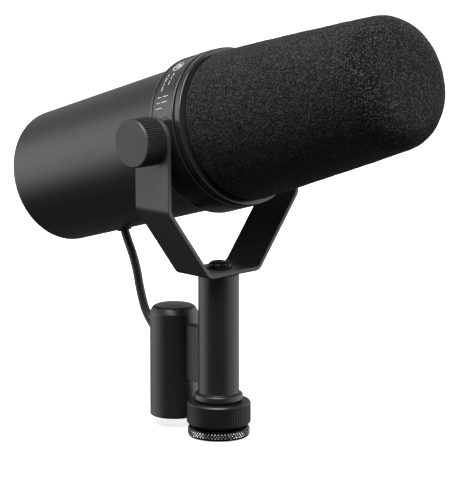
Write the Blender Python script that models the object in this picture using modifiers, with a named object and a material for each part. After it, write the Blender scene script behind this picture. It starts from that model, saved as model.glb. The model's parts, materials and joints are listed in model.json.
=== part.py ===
"""Broadcast microphone in a tilting yoke, with its connector housing and stand thread.

Lengths are in millimetres and turned to metres by MM. The origin is the centre of the
thread adapter's lower face, +Z runs up the stem, and the microphone's front faces -Y.
The head (housing, capsule, windscreen) is built about its own axis: in HEAD's frame
x is across, y is up and z runs forward from the tilt axis.
"""

import math

import bmesh
import bpy

MM = 0.001
GAP = 0.3                       # clearance between pieces that touch

# Tilting head
PIVOT_Z = 124.1                 # height of the tilt axis
TILT = math.radians(16.65)      # front raised
HOUSING_REAR = -98.6
HOUSING_FRONT = -5.9
HOUSING_RADIUS = 29.68          # at the tilt axis
HOUSING_TAPER = 0.019           # radius gained for each mm forward
HOUSING_WALL = 1.8
REAR_ROUNDING = 2.0
PANEL_RADIUS = 25.6
PANEL_REAR = -95.7
PANEL_FRONT = -94.0
PANEL_SCREW_CIRCLE = 22.4
PANEL_SCREW_END = -91.2
LEDGE_BORE = 19.5
LEDGE_THICKNESS = 3.0
SWITCHES = (("bass", 6.5), ("presence", -6.5))      # name, height above the axis
SWITCH_WINDOW = (9.6, 3.9)
SWITCH_CASE = (20.0, 8.0, 6.0)
SLIDER = (4.6, 3.3, 4.4)
SLIDER_START = -2.2             # left end of its travel
BOARD_SIZE = (34.0, 28.0, 1.6)
FILTER_COIL = (6.5, 8.5)        # radius, height
FILTER_CAPACITOR = (3.2, 7.0)
BULKHEAD = (26.9, 3.0, -3.2, -1.2)      # radius, bore, rear, front
COLLAR_REAR = -5.6
COLLAR_FRONT = 8.7
COLLAR_RADIUS = 32.0
COLLAR_WEB = (27.3, 4.0)        # bore and front face of the web between the two sockets
SPIGOT_RADIUS = 28.9            # where the housing plugs into the collar
SPIGOT_FRONT = 1.5
SLEEVE_RADIUS = 30.2            # where the front flange plugs into the collar
FLANGE_REAR = 9.7
FLANGE_FRONT = 12.6
FLANGE_RADIUS = 31.8
FLANGE_BORE = 28.0
LABEL_REAR = -3.4
LABEL_FRONT = 6.3
LABEL_START = math.radians(108)     # measured from +X, over the top
LABEL_END = math.radians(165)
CAGE_RADIUS = 25.0
CAGE_WALL = 1.0
CAGE_FRONT = 93.0
CAGE_FLANGE = (27.7, 8.5, 11.0)         # radius, rear, front
WINDOW_RIBS = 6
WINDOW_HALF_WIDTH = 9.6
WINDOW_LENGTH = 22.0
WINDOW_ROWS = (25.5, 51.0, 76.5)        # middle of each row along the axis
CAP_HOLES = (15.5, 4.4)         # circle, radius
CAP_BORE = 6.5
FOAM_REAR = 12.9
FOAM_FRONT = 105.0
FOAM_RADIUS = 31.0              # at the tilt axis, shrinking forward
FOAM_TAPER = 0.055
FOAM_BARREL = 0.3
FOAM_ROUNDING = 11.0
FOAM_BORE = 25.3
FOAM_BORE_FRONT = 95.5
CRADLE_RADIUS = 21.5
CRADLE_BORE = 20.5
CRADLE_FRONT = 58.0
CAPSULE_RADIUS = 16.1
CAPSULE_BORE = 14.6
CAPSULE_REAR = 18.0
CAPSULE_FRONT = 56.0
MAGNET = (11.5, 22.0, 33.7)     # radius, rear, front
POLE_REAR = 34.0
VOICE_COIL_RADIUS = 7.8
DIAPHRAGM_EDGE = 14.2
COVER_HOLES = (9.0, 2.6)        # circle, radius
CABLE_EXIT = -67.0              # along the head axis, on the underside
GROMMET_RADIUS = 3.3

# Yoke, pivots and knobs
YOKE_THICKNESS = 1.85
YOKE_WIDTH = 18.8
YOKE_FLOOR = 67.25              # lower face
YOKE_CORNER = (14.1, 67.25)     # sharp corners of the outer face, before bending
YOKE_SHOULDER = (36.46, 96.27)
YOKE_BEND = 4.5
BOSS_RADIUS = 5.4
BOSS_FACE = 33.7
STUD_RADIUS = 3.0
STUD_START = 29.7
STUD_END = 44.6
SCREW_RADIUS = 2.5              # holds the yoke on the stem
SCREW_END = 45.0
KNOB_RADIUS = 9.58
KNOB_INNER = 37.23
KNOB_FACE = 47.14

# Stem, nut and thread adapter
STEM_RADIUS = 8.3
STEM_TOP = 66.95
STEM_BOTTOM = 14.5
STEM_BORE = 2.9
STEM_LOWER_BORE = 4.4
STEM_STEP = 28.0                # top of the lower bore
STEM_FOOT_RADIUS = 10.0
STUD_HEAD = (7.4, 9.6)          # radius and underside of the swivel stud's head
NUT_RADIUS = 13.0
NUT_BOTTOM = 4.16
NUT_TOP = 14.18
THREAD_RADIUS = 7.9
NECK_RADIUS = 6.0
ADAPTER_RADIUS = 12.8
ADAPTER_TOP = 3.86
ADAPTER_BORE = 4.9
THREAD_TOP = 9.3

# Connector housing behind the stem
CONNECTOR_Y = 26.2
CONNECTOR_RADIUS = 9.96
CONNECTOR_WALL = 1.5
CONNECTOR_BOTTOM = 3.9
CONNECTOR_TOP = 50.5
INSERT_BOTTOM = 17.5
INSERT_TOP = 23.0
PIN_RADIUS = 1.15
PIN_CIRCLE = 4.3
PIN_BOTTOM = 6.5
PIN_TOP = 26.0
BRACKET_BOTTOM = 20.3
BRACKET_TOP = 43.2
BRACKET_HALF = 2.6
BRACKET_Y = (5.6, 18.6)         # before the stem and the shell are cut out of it
BRACKET_SCREWS = (26.2, 38.0)   # heights

# Lead from the head's underside to the connector housing, in the plane x = 0
CABLE_RADIUS = 1.85
CABLE_BORE = CABLE_RADIUS + GAP  # through the grommet and the boot
CABLE_STEP = 4.0
CABLE_ROUTE = (                 # (y, z), by hand
    (57.4, 82.3), (56.05, 77.8), (54.4, 73.9), (51.1, 67.7), (48.6, 61.3), (46.9, 54.7),
    (44.9, 48.6), (43.3, 45.1), (41.1, 42.0), (38.5, 39.4), (35.8, 37.1), (33.0, 34.8),
)
BOOT_POINT = (35.8, 37.1)
BOOT_SLOPE = math.radians(40.4)
BOOT_RADIUS = 2.85

TINY, COARSE, MEDIUM, FINE = 8, 12, 20, 32   # sides of a turned piece


def clear_scene():
    for thing in list(bpy.data.objects):
        bpy.data.objects.remove(thing, do_unlink=True)


def new_collection(name):
    collection = bpy.data.collections.new(name)
    bpy.context.scene.collection.children.link(collection)
    return collection


def finish(name, colour, roughness, metallic=0.0):
    material = bpy.data.materials.new(name)
    material.use_nodes = True
    shader = material.node_tree.nodes["Principled BSDF"]
    linear = [(int(colour[i:i + 2], 16) / 255) ** 2.2 for i in (1, 3, 5)]
    shader.inputs["Base Color"].default_value = (*linear, 1.0)
    shader.inputs["Roughness"].default_value = roughness
    shader.inputs["Metallic"].default_value = metallic
    material.diffuse_color = (*linear, 1.0)
    return material


def put(thing, look, parent=None, at=(0, 0, 0), turn=(0, 0, 0)):
    """Link an object: a part if it has a look, otherwise a cutter."""
    thing.location = [v * MM for v in at]
    thing.rotation_euler = [math.radians(v) for v in turn]
    thing.parent = parent
    if look is None:
        CUTTERS.objects.link(thing)
        thing.hide_render = True
        thing.display_type = "WIRE"
    else:
        thing.data.materials.append(look)
        PARTS.objects.link(thing)
    return thing


def turned(name, profile, look, sides=MEDIUM, **place):
    """Turn a profile of (radius, height) about Z; it runs down its outer side first."""
    on_axis = profile[0][0] == 0 and profile[-1][0] == 0
    count = len(profile)
    edges = [(i, (i + 1) % count) for i in range(count - 1 if on_axis else count)]
    mesh = bpy.data.meshes.new(name)
    mesh.from_pydata([(r * MM, 0, h * MM) for r, h in profile], edges, [])
    thing = bpy.data.objects.new(name, mesh)
    screw = thing.modifiers.new("Turn", "SCREW")
    screw.axis = "Z"
    screw.angle = math.tau
    screw.steps = screw.render_steps = sides
    screw.use_merge_vertices = True
    screw.merge_threshold = 0.00001
    return put(thing, look, **place)


def box(name, size, look, edge=0.0, **place):
    mesh = bpy.data.meshes.new(name)
    shape = bmesh.new()
    bmesh.ops.create_cube(shape, size=1.0)
    bmesh.ops.scale(shape, vec=[v * MM for v in size], verts=shape.verts)
    shape.to_mesh(mesh)
    shape.free()
    thing = bpy.data.objects.new(name, mesh)
    if edge:
        bevel = thing.modifiers.new("Edges", "BEVEL")
        bevel.width = edge * MM
        bevel.segments = 1
    return put(thing, look, **place)


def rod(name, radius, start, end, look, sides=COARSE, **place):
    """A round bar along Z."""
    return turned(name, [(0, end), (radius, end), (radius, start), (0, start)], look, sides, **place)


def ring(name, outer, inner, start, end, look, sides=MEDIUM, **place):
    return turned(name, [(outer, end), (outer, start), (inner, start), (inner, end)],
                  look, sides, **place)


def outline(name, points, thickness, look, **place):
    """Extrude a closed flat outline along Z, centred on its plane, as a welded mesh."""
    curve = bpy.data.curves.new(name, "CURVE")
    curve.dimensions = "2D"
    curve.fill_mode = "BOTH"
    curve.extrude = thickness / 2 * MM
    spline = curve.splines.new("POLY")
    spline.points.add(len(points) - 1)
    for point, (x, y) in zip(spline.points, points):
        point.co = (x * MM, y * MM, 0, 1)
    spline.use_cyclic_u = True
    source = bpy.data.objects.new(name + "_outline", curve)
    CUTTERS.objects.link(source)
    graph = bpy.context.evaluated_depsgraph_get()
    mesh = bpy.data.meshes.new_from_object(source.evaluated_get(graph))
    bpy.data.objects.remove(source, do_unlink=True)
    shape = bmesh.new()
    shape.from_mesh(mesh)
    bmesh.ops.remove_doubles(shape, verts=shape.verts, dist=0.00001)
    bmesh.ops.recalc_face_normals(shape, faces=shape.faces)
    shape.to_mesh(mesh)
    shape.free()
    mesh.name = name
    return put(bpy.data.objects.new(name, mesh), look, **place)


def cut(thing, cutter, operation="DIFFERENCE"):
    boolean = thing.modifiers.new(cutter.name, "BOOLEAN")
    boolean.operation = operation
    boolean.object = cutter
    boolean.solver = "EXACT"


def arc(centre, radius, start, end, steps):
    """Points on an arc in degrees, both ends included."""
    angles = [math.radians(start + (end - start) * i / steps) for i in range(steps + 1)]
    return [(centre[0] + radius * math.cos(a), centre[1] + radius * math.sin(a)) for a in angles]


def rounded(points, radius, steps=4):
    """Fillet the inner corners of an open path."""
    path = [points[0]]
    for before, corner, after in zip(points, points[1:], points[2:]):
        a = math.atan2(before[1] - corner[1], before[0] - corner[0])
        b = math.atan2(after[1] - corner[1], after[0] - corner[0])
        half = math.remainder(b - a, math.tau) / 2
        reach = radius / abs(math.sin(half))
        middle = a + half
        centre = (corner[0] + reach * math.cos(middle), corner[1] + reach * math.sin(middle))
        swing = math.pi / 2 - abs(half)
        first = middle + math.pi + math.copysign(swing, half)
        last = middle + math.pi - math.copysign(swing, half)
        path += arc(centre, radius, math.degrees(first), math.degrees(last), steps)
    return path + [points[-1]]


def offset(points, distance):
    """Move an open path sideways, to the left of its direction."""
    normals = []
    for (x0, y0), (x1, y1) in zip(points, points[1:]):
        length = math.hypot(x1 - x0, y1 - y0)
        normals.append(((y0 - y1) / length, (x1 - x0) / length))
    moved = []
    for i, (x, y) in enumerate(points):
        a = normals[max(i - 1, 0)]
        b = normals[min(i, len(normals) - 1)]
        scale = distance / (1 + a[0] * b[0] + a[1] * b[1])
        moved.append((x + (a[0] + b[0]) * scale, y + (a[1] + b[1]) * scale))
    return moved


def smooth_route(points, step):
    """Read evenly spaced points from a Catmull-Rom curve through a route."""
    ends = [points[0], *points, points[-1]]
    dense = []
    for p0, p1, p2, p3 in zip(ends, ends[1:], ends[2:], ends[3:]):
        for i in range(24):
            t = i / 24
            dense.append(tuple(
                0.5 * (2 * b + (c - a) * t + (2 * a - 5 * b + 4 * c - d) * t * t
                       + (3 * b - a - 3 * c + d) * t ** 3)
                for a, b, c, d in zip(p0, p1, p2, p3)))
    dense.append(points[-1])
    lengths = [0.0]
    for a, b in zip(dense, dense[1:]):
        lengths.append(lengths[-1] + math.dist(a, b))
    count = round(lengths[-1] / step)
    route, k = [], 0
    for i in range(count + 1):
        target = lengths[-1] * i / count
        while k < len(dense) - 2 and lengths[k + 1] < target:
            k += 1
        t = (target - lengths[k]) / (lengths[k + 1] - lengths[k])
        route.append(tuple(a + (b - a) * t for a, b in zip(dense[k], dense[k + 1])))
    return route


def housing_radius(along):
    return HOUSING_RADIUS + HOUSING_TAPER * along


def foam_radius(along):
    swell = math.sin(math.pi * (along - FOAM_REAR) / (FOAM_FRONT - FOAM_REAR))
    return FOAM_RADIUS - FOAM_TAPER * along + FOAM_BARREL * swell


def make_rear_housing():
    """Tapered shell with a recessed back panel, three screws and a grommet."""
    rear = housing_radius(HOUSING_REAR)
    corner = arc((rear - REAR_ROUNDING, HOUSING_REAR + REAR_ROUNDING), REAR_ROUNDING, 0, -90, 3)
    mouth = PANEL_RADIUS + GAP
    ledge_rear = PANEL_FRONT + GAP
    ledge_front = ledge_rear + LEDGE_THICKNESS
    inside = housing_radius(HOUSING_FRONT) - HOUSING_WALL
    housing = turned("rear_housing", [
        (SPIGOT_RADIUS, SPIGOT_FRONT), (SPIGOT_RADIUS, HOUSING_FRONT),
        (housing_radius(HOUSING_FRONT), HOUSING_FRONT), *corner,
        (mouth, HOUSING_REAR), (mouth, ledge_rear), (LEDGE_BORE, ledge_rear),
        (LEDGE_BORE, ledge_front), (rear - HOUSING_WALL, ledge_front + 2.0),
        (inside, HOUSING_FRONT), (SPIGOT_RADIUS - 1.4, SPIGOT_FRONT)],
        SATIN_BLACK, FINE, parent=HEAD)
    panel = rod("rear_panel", PANEL_RADIUS, PANEL_REAR, PANEL_FRONT, BLACK_ALUMINIUM,
                FINE, parent=HEAD)
    for number in range(3):
        angle = math.radians(90 + 120 * number)
        spot = (PANEL_SCREW_CIRCLE * math.cos(angle), PANEL_SCREW_CIRCLE * math.sin(angle), 0)
        hole = rod(f"panel_screw_hole_{number + 1}", 1.5, PANEL_REAR - 2, ledge_front + 1,
                   None, TINY, parent=HEAD, at=spot)
        cut(housing, hole)
        cut(panel, hole)
        head_rear = PANEL_REAR - GAP - 1.2
        turned(f"panel_screw_{number + 1}", [
            (0, PANEL_SCREW_END), (1.2, PANEL_SCREW_END), (1.2, PANEL_REAR - GAP),
            (2.4, PANEL_REAR - GAP), (2.4, head_rear + 0.4), (2.0, head_rear), (0, head_rear)],
            STEEL_BLACK, TINY, parent=HEAD, at=spot)
    exit_hole = rod("grommet_hole", GROMMET_RADIUS + GAP, -34, -22, None, COARSE, parent=HEAD,
                    at=(0, 0, CABLE_EXIT), turn=(-90, 0, 0))
    cut(housing, exit_hole)
    skin = housing_radius(CABLE_EXIT)
    turned("cable_grommet", [
        (GROMMET_RADIUS + 0.7, 0.9), (GROMMET_RADIUS + 0.7, 0.35), (GROMMET_RADIUS, 0.35),
        (GROMMET_RADIUS, -2.6), (CABLE_BORE, -2.6), (CABLE_BORE, 0.9)],
        RUBBER, COARSE, parent=HEAD, at=(0, -skin, CABLE_EXIT), turn=(90, 0, 0))
    return panel


def make_switches(panel):
    """Two slide switches behind windows in the back panel."""
    for name, height in SWITCHES:
        window = box(f"{name}_window", (*SWITCH_WINDOW, 6.0), None, parent=HEAD,
                     at=(0, height, PANEL_REAR + 1.0))
        cut(panel, window)
        case = box(f"{name}_switch_case", SWITCH_CASE, BLACK_PLASTIC, parent=HEAD,
                   at=(0, height, PANEL_FRONT + GAP + SWITCH_CASE[2] / 2))
        pocket = box(f"{name}_pocket", (*SWITCH_WINDOW, 4.0), None, parent=HEAD,
                     at=(0, height, PANEL_FRONT + GAP))
        cut(case, pocket)
        box(f"{name}_slider", SLIDER, RED_PLASTIC, 0.3, parent=HEAD,
            at=(SLIDER_START, height, PANEL_REAR + 1.0))


def make_filter_board():
    """Circuit board that carries the response filters, behind the switches."""
    board_rear = PANEL_FRONT + SWITCH_CASE[2] + 2 * GAP
    thickness = BOARD_SIZE[2]
    box("circuit_board", BOARD_SIZE, BOARD, parent=HEAD, at=(0, 0, board_rear + thickness / 2))
    top = board_rear + thickness + GAP
    coil_radius, coil_height = FILTER_COIL
    can_radius, can_height = FILTER_CAPACITOR
    rod("filter_coil", coil_radius, top, top + coil_height, COPPER, MEDIUM, parent=HEAD,
        at=(-8, 3, 0))
    for number, height in enumerate((6.5, -5.5), 1):
        rod(f"filter_capacitor_{number}", can_radius, top, top + can_height, BLUE_PLASTIC,
            parent=HEAD, at=(7.5, height, 0))
    ring("acoustic_bulkhead", *BULKHEAD, BLACK_ALUMINIUM, MEDIUM, parent=HEAD)


def sector(inner, outer, start, end, steps):
    """Outline of a curved strip seen from its end."""
    a, b = math.degrees(start), math.degrees(end)
    return arc((0, 0), outer, a, b, steps) + arc((0, 0), inner, b, a, steps)


def make_collar():
    """Middle ring that carries the pivots, the label plate and the front flange."""
    web_bore, web_front = COLLAR_WEB
    collar = turned("mid_collar", [
        (COLLAR_RADIUS - 0.5, COLLAR_FRONT), (COLLAR_RADIUS, COLLAR_FRONT - 2.2),
        (COLLAR_RADIUS, COLLAR_REAR + 0.8), (COLLAR_RADIUS - 0.8, COLLAR_REAR),
        (SPIGOT_RADIUS + GAP, COLLAR_REAR), (SPIGOT_RADIUS + GAP, SPIGOT_FRONT + GAP),
        (web_bore, SPIGOT_FRONT + GAP), (web_bore, web_front), (SLEEVE_RADIUS + GAP, web_front),
        (SLEEVE_RADIUS + GAP, COLLAR_FRONT)], SATIN_BLACK, FINE, parent=HEAD)
    middle = (LABEL_REAR + LABEL_FRONT) / 2
    width = LABEL_FRONT - LABEL_REAR
    margin = GAP / COLLAR_RADIUS
    recess = outline("label_recess", sector(
        COLLAR_RADIUS - 0.8, COLLAR_RADIUS + 1, LABEL_START - margin, LABEL_END + margin, 12),
        width + 2 * GAP, None, parent=HEAD, at=(0, 0, middle))
    outline("label_plate", sector(
        COLLAR_RADIUS - 0.5, COLLAR_RADIUS - 0.15, LABEL_START, LABEL_END, 12),
        width, LABEL_GREY, parent=HEAD, at=(0, 0, middle))
    cut(collar, recess)
    for side, turn in (("left", -90), ("right", 90)):
        boss = rod(f"{side}_boss", BOSS_RADIUS, 31.0, BOSS_FACE, None, MEDIUM,
                   parent=HEAD, turn=(0, turn, 0))
        cut(collar, boss, "UNION")
    cut(collar, rod("pivot_bore", STUD_RADIUS + GAP, -40, 40, None, COARSE,
                    parent=HEAD, turn=(0, 90, 0)))
    turned("front_flange", [
        (SLEEVE_RADIUS, FLANGE_FRONT), (FLANGE_RADIUS - 0.8, FLANGE_FRONT - 0.4),
        (FLANGE_RADIUS, FLANGE_REAR + 0.7), (FLANGE_RADIUS - 0.2, FLANGE_REAR),
        (SLEEVE_RADIUS, FLANGE_REAR), (SLEEVE_RADIUS, web_front + GAP),
        (FLANGE_BORE, web_front + GAP), (FLANGE_BORE, FLANGE_FRONT)], SATIN_BLACK, FINE, parent=HEAD)


def star(arms, half_width, reach):
    """Outline of arms crossing at the centre, to cut a row of windows in a tube."""
    half = math.pi / arms
    waist = half_width / math.sin(half)
    points = []
    for number in range(arms):
        angle = 2 * half * number
        c, s = math.cos(angle), math.sin(angle)
        for x, y in ((reach, -half_width), (reach, half_width)):
            points.append((x * c - y * s, x * s + y * c))
        points.append((waist * math.cos(angle + half), waist * math.sin(angle + half)))
    return points


def make_cage():
    """Open metal cage that carries the windscreen and guards the capsule."""
    inner = CAGE_RADIUS - CAGE_WALL
    flange, rear, front = CAGE_FLANGE
    cage = turned("grille_cage", [
        (CAGE_RADIUS, CAGE_FRONT), (CAGE_RADIUS, front), (flange, front), (flange, rear),
        (inner, rear), (inner, CAGE_FRONT)], STEEL_BLACK, MEDIUM, parent=HEAD)
    windows = star(WINDOW_RIBS, WINDOW_HALF_WIDTH, CAGE_RADIUS + 4)
    for row, middle in enumerate(WINDOW_ROWS, 1):
        window = outline(f"cage_windows_{row}", windows, WINDOW_LENGTH, None,
                         parent=HEAD, at=(0, 0, middle))
        cut(cage, window)
    cap = ring("grille_cap", inner - GAP, CAP_BORE, CAGE_FRONT - 2.2, CAGE_FRONT - 0.4, STEEL_BLACK,
               MEDIUM, parent=HEAD)
    circle, radius = CAP_HOLES
    for number in range(6):
        angle = math.tau * (number + 0.35) / 6
        cut(cap, rod(f"cap_hole_{number + 1}", radius, CAGE_FRONT - 4, CAGE_FRONT + 2, None, TINY,
                     parent=HEAD, at=(circle * math.cos(angle), circle * math.sin(angle), 0)))


def make_windscreen():
    """Foam sleeve with a closed, rounded front that pulls off forward."""
    shoulder = FOAM_FRONT - FOAM_ROUNDING
    edge = foam_radius(shoulder)
    nose = arc((edge - FOAM_ROUNDING, shoulder), FOAM_ROUNDING, 90, 0, 6)
    side = [(foam_radius(s), s) for s in (75.0, 55.0, 35.0, FOAM_REAR + 0.8)]
    turned("windscreen", [
        (0, FOAM_FRONT + 0.4), (8.0, FOAM_FRONT + 0.25), *nose, *side,
        (foam_radius(FOAM_REAR) - 0.8, FOAM_REAR), (FOAM_BORE, FOAM_REAR),
        (FOAM_BORE, FOAM_BORE_FRONT), (0, FOAM_BORE_FRONT)], FOAM, FINE, parent=HEAD)


def make_capsule():
    """Moving-coil capsule in rubber mounts, inside its cradle."""
    turned("capsule_cradle", [
        (CRADLE_RADIUS, CRADLE_FRONT), (CRADLE_RADIUS, 10.8), (23.7, 10.8), (23.7, 8.5),
        (CRADLE_BORE, 8.5), (CRADLE_BORE, CRADLE_FRONT)], BLACK_ALUMINIUM, MEDIUM, parent=HEAD)
    turned("capsule_shell", [
        (CAPSULE_RADIUS, CAPSULE_FRONT), (CAPSULE_RADIUS, CAPSULE_REAR), (4.0, CAPSULE_REAR),
        (4.0, CAPSULE_REAR + 1.6), (CAPSULE_BORE, CAPSULE_REAR + 1.6),
        (CAPSULE_BORE, CAPSULE_FRONT)], ALUMINIUM, MEDIUM, parent=HEAD)
    for name, start in (("rear", 21.0), ("front", 49.0)):
        ring(f"{name}_shock_mount", CRADLE_BORE - GAP, CAPSULE_RADIUS + GAP, start, start + 5.0,
             RUBBER, MEDIUM, parent=HEAD)
    ring("humbucking_coil", CRADLE_BORE - 0.5, CAPSULE_RADIUS + GAP, 31.0, 41.0, COPPER, MEDIUM,
         parent=HEAD)
    rod("magnet", *MAGNET, STEEL, MEDIUM, parent=HEAD)
    ring("pole_plate", 13.5, VOICE_COIL_RADIUS + 0.4, POLE_REAR, POLE_REAR + 3, STEEL, MEDIUM,
         parent=HEAD)
    rod("centre_pole", VOICE_COIL_RADIUS - 1, POLE_REAR, POLE_REAR + 4, STEEL, MEDIUM, parent=HEAD)
    ring("voice_coil", VOICE_COIL_RADIUS, VOICE_COIL_RADIUS - 0.6, POLE_REAR + 1, 44.6, COPPER,
         MEDIUM, parent=HEAD)
    turned("diaphragm", [
        (0, 48.6), (4.0, 48.0), (VOICE_COIL_RADIUS, 45.6), (11.0, 46.4), (DIAPHRAGM_EDGE, 45.4),
        (DIAPHRAGM_EDGE, 44.9), (11.0, 45.9), (VOICE_COIL_RADIUS, 45.0), (4.0, 47.5), (0, 48.1)],
        CLEAR_FILM, MEDIUM, parent=HEAD)
    cover = rod("capsule_cover", CAPSULE_BORE - GAP, 52.0, 53.6, BLACK_ALUMINIUM, MEDIUM,
                parent=HEAD)
    circle, radius = COVER_HOLES
    for number in range(6):
        angle = math.tau * number / 6
        cut(cover, rod(f"cover_hole_{number + 1}", radius, 50, 56, None, TINY, parent=HEAD,
                       at=(circle * math.cos(angle), circle * math.sin(angle), 0)))


def make_pivot(side, turn):
    """Stud, friction washers and clamping knob on one side of the yoke."""
    place = {"parent": HEAD, "turn": (0, turn, 0)}
    bore = STUD_RADIUS + GAP
    inner_face = YOKE_SHOULDER[0] - YOKE_THICKNESS
    rod(f"{side}_pivot_stud", STUD_RADIUS, STUD_START, STUD_END, STEEL, COARSE, **place)
    ring(f"{side}_inner_washer", 8.0, bore, BOSS_FACE + 0.27, inner_face - 0.26,
         BLACK_PLASTIC, MEDIUM, **place)
    ring(f"{side}_outer_washer", 7.5, bore, YOKE_SHOULDER[0] + 0.25, KNOB_INNER - 0.25,
         STEEL, MEDIUM, **place)
    turned(f"{side}_knob", [
        (0, KNOB_FACE), (KNOB_RADIUS - 0.7, KNOB_FACE), (KNOB_RADIUS, KNOB_FACE - 0.6),
        (KNOB_RADIUS, KNOB_INNER + 0.6), (KNOB_RADIUS - 0.5, KNOB_INNER), (bore, KNOB_INNER),
        (bore, STUD_END + GAP), (0, STUD_END + GAP)], KNOB_BLACK, FINE, **place)


def make_yoke():
    """Bent strip that carries the head, and the screw that holds it on the stem."""
    rise = PIVOT_Z + YOKE_WIDTH
    right = [YOKE_CORNER, YOKE_SHOULDER, (YOKE_SHOULDER[0], rise)]
    outer = [(-x, z) for x, z in reversed(right)] + right
    inner = offset(outer, YOKE_THICKNESS)
    strip = rounded(outer, YOKE_BEND) + rounded(inner, YOKE_BEND - YOKE_THICKNESS)[::-1]
    yoke = outline("yoke", strip, YOKE_WIDTH + 4, SATIN_BLACK, turn=(90, 0, 0))
    half = YOKE_WIDTH / 2
    side_view = [(-half, YOKE_FLOOR - 3), (half, YOKE_FLOOR - 3),
                 *arc((0, PIVOT_Z), half, 0, 180, 16)]
    cut(yoke, outline("yoke_side_view", side_view, 90, None, turn=(90, 0, 90)), "INTERSECT")
    cut(yoke, rod("yoke_pivot_bore", STUD_RADIUS + GAP, -40, 40, None, COARSE,
                  at=(0, 0, PIVOT_Z), turn=(0, 90, 0)))
    cut(yoke, rod("yoke_screw_bore", STEM_BORE, YOKE_FLOOR - 2, YOKE_FLOOR + 4, None, COARSE))
    floor = YOKE_FLOOR + YOKE_THICKNESS
    ring("yoke_washer", 5.3, STEM_BORE, floor + 0.25, floor + 0.85, STEEL_BLACK, COARSE)
    seat = floor + 1.1
    turned("yoke_screw", [
        (0, seat + 0.6), (1.9, seat + 0.6), (1.9, seat + 1.7), (3.1, seat + 1.6),
        (4.0, seat + 0.9), (4.25, seat), (SCREW_RADIUS, seat), (SCREW_RADIUS, SCREW_END),
        (0, SCREW_END)],
        STEEL_BLACK, COARSE)


def make_stem():
    """Stem with its captive nut and the adapter that screws into the nut."""
    turned("stem_tube", [
        (STEM_RADIUS, STEM_TOP), (STEM_RADIUS, 18.0), (STEM_FOOT_RADIUS - 0.4, 17.4),
        (STEM_FOOT_RADIUS, 16.5), (STEM_FOOT_RADIUS, 15.2), (STEM_FOOT_RADIUS - 0.4, STEM_BOTTOM),
        (STEM_LOWER_BORE, STEM_BOTTOM), (STEM_LOWER_BORE, STEM_STEP), (STEM_BORE, STEM_STEP),
        (STEM_BORE, STEM_TOP)], SATIN_BLACK, FINE)
    ceiling = NUT_TOP - 2.4
    shank, head_radius, underside = STEM_LOWER_BORE - GAP, *STUD_HEAD
    turned("swivel_stud", [
        (0, STEM_STEP - 0.5), (shank, STEM_STEP - 0.5), (shank, STEM_BOTTOM - GAP),
        (NECK_RADIUS, STEM_BOTTOM - GAP), (NECK_RADIUS, ceiling - GAP),
        (head_radius, ceiling - GAP), (head_radius, underside), (0, underside)], STEEL, MEDIUM)
    turned("stand_nut", [
        (NUT_RADIUS - 1, NUT_TOP), (NUT_RADIUS - 0.3, NUT_TOP - 0.3), (NUT_RADIUS, NUT_TOP - 1.0),
        (NUT_RADIUS, NUT_BOTTOM + 1.5), (NUT_RADIUS - 1.5, NUT_BOTTOM),
        (THREAD_RADIUS, NUT_BOTTOM), (THREAD_RADIUS, ceiling), (NECK_RADIUS + GAP, ceiling),
        (NECK_RADIUS + GAP, NUT_TOP)], KNOB_BLACK, FINE)
    turned("thread_adapter", [
        (THREAD_RADIUS - GAP, THREAD_TOP), (THREAD_RADIUS - GAP, ADAPTER_TOP),
        (ADAPTER_RADIUS - 0.5, ADAPTER_TOP), (ADAPTER_RADIUS, ADAPTER_TOP - 0.5),
        (ADAPTER_RADIUS, 0.5), (ADAPTER_RADIUS - 0.5, 0), (ADAPTER_BORE, 0),
        (ADAPTER_BORE, THREAD_TOP)], NICKEL, FINE)


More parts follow.
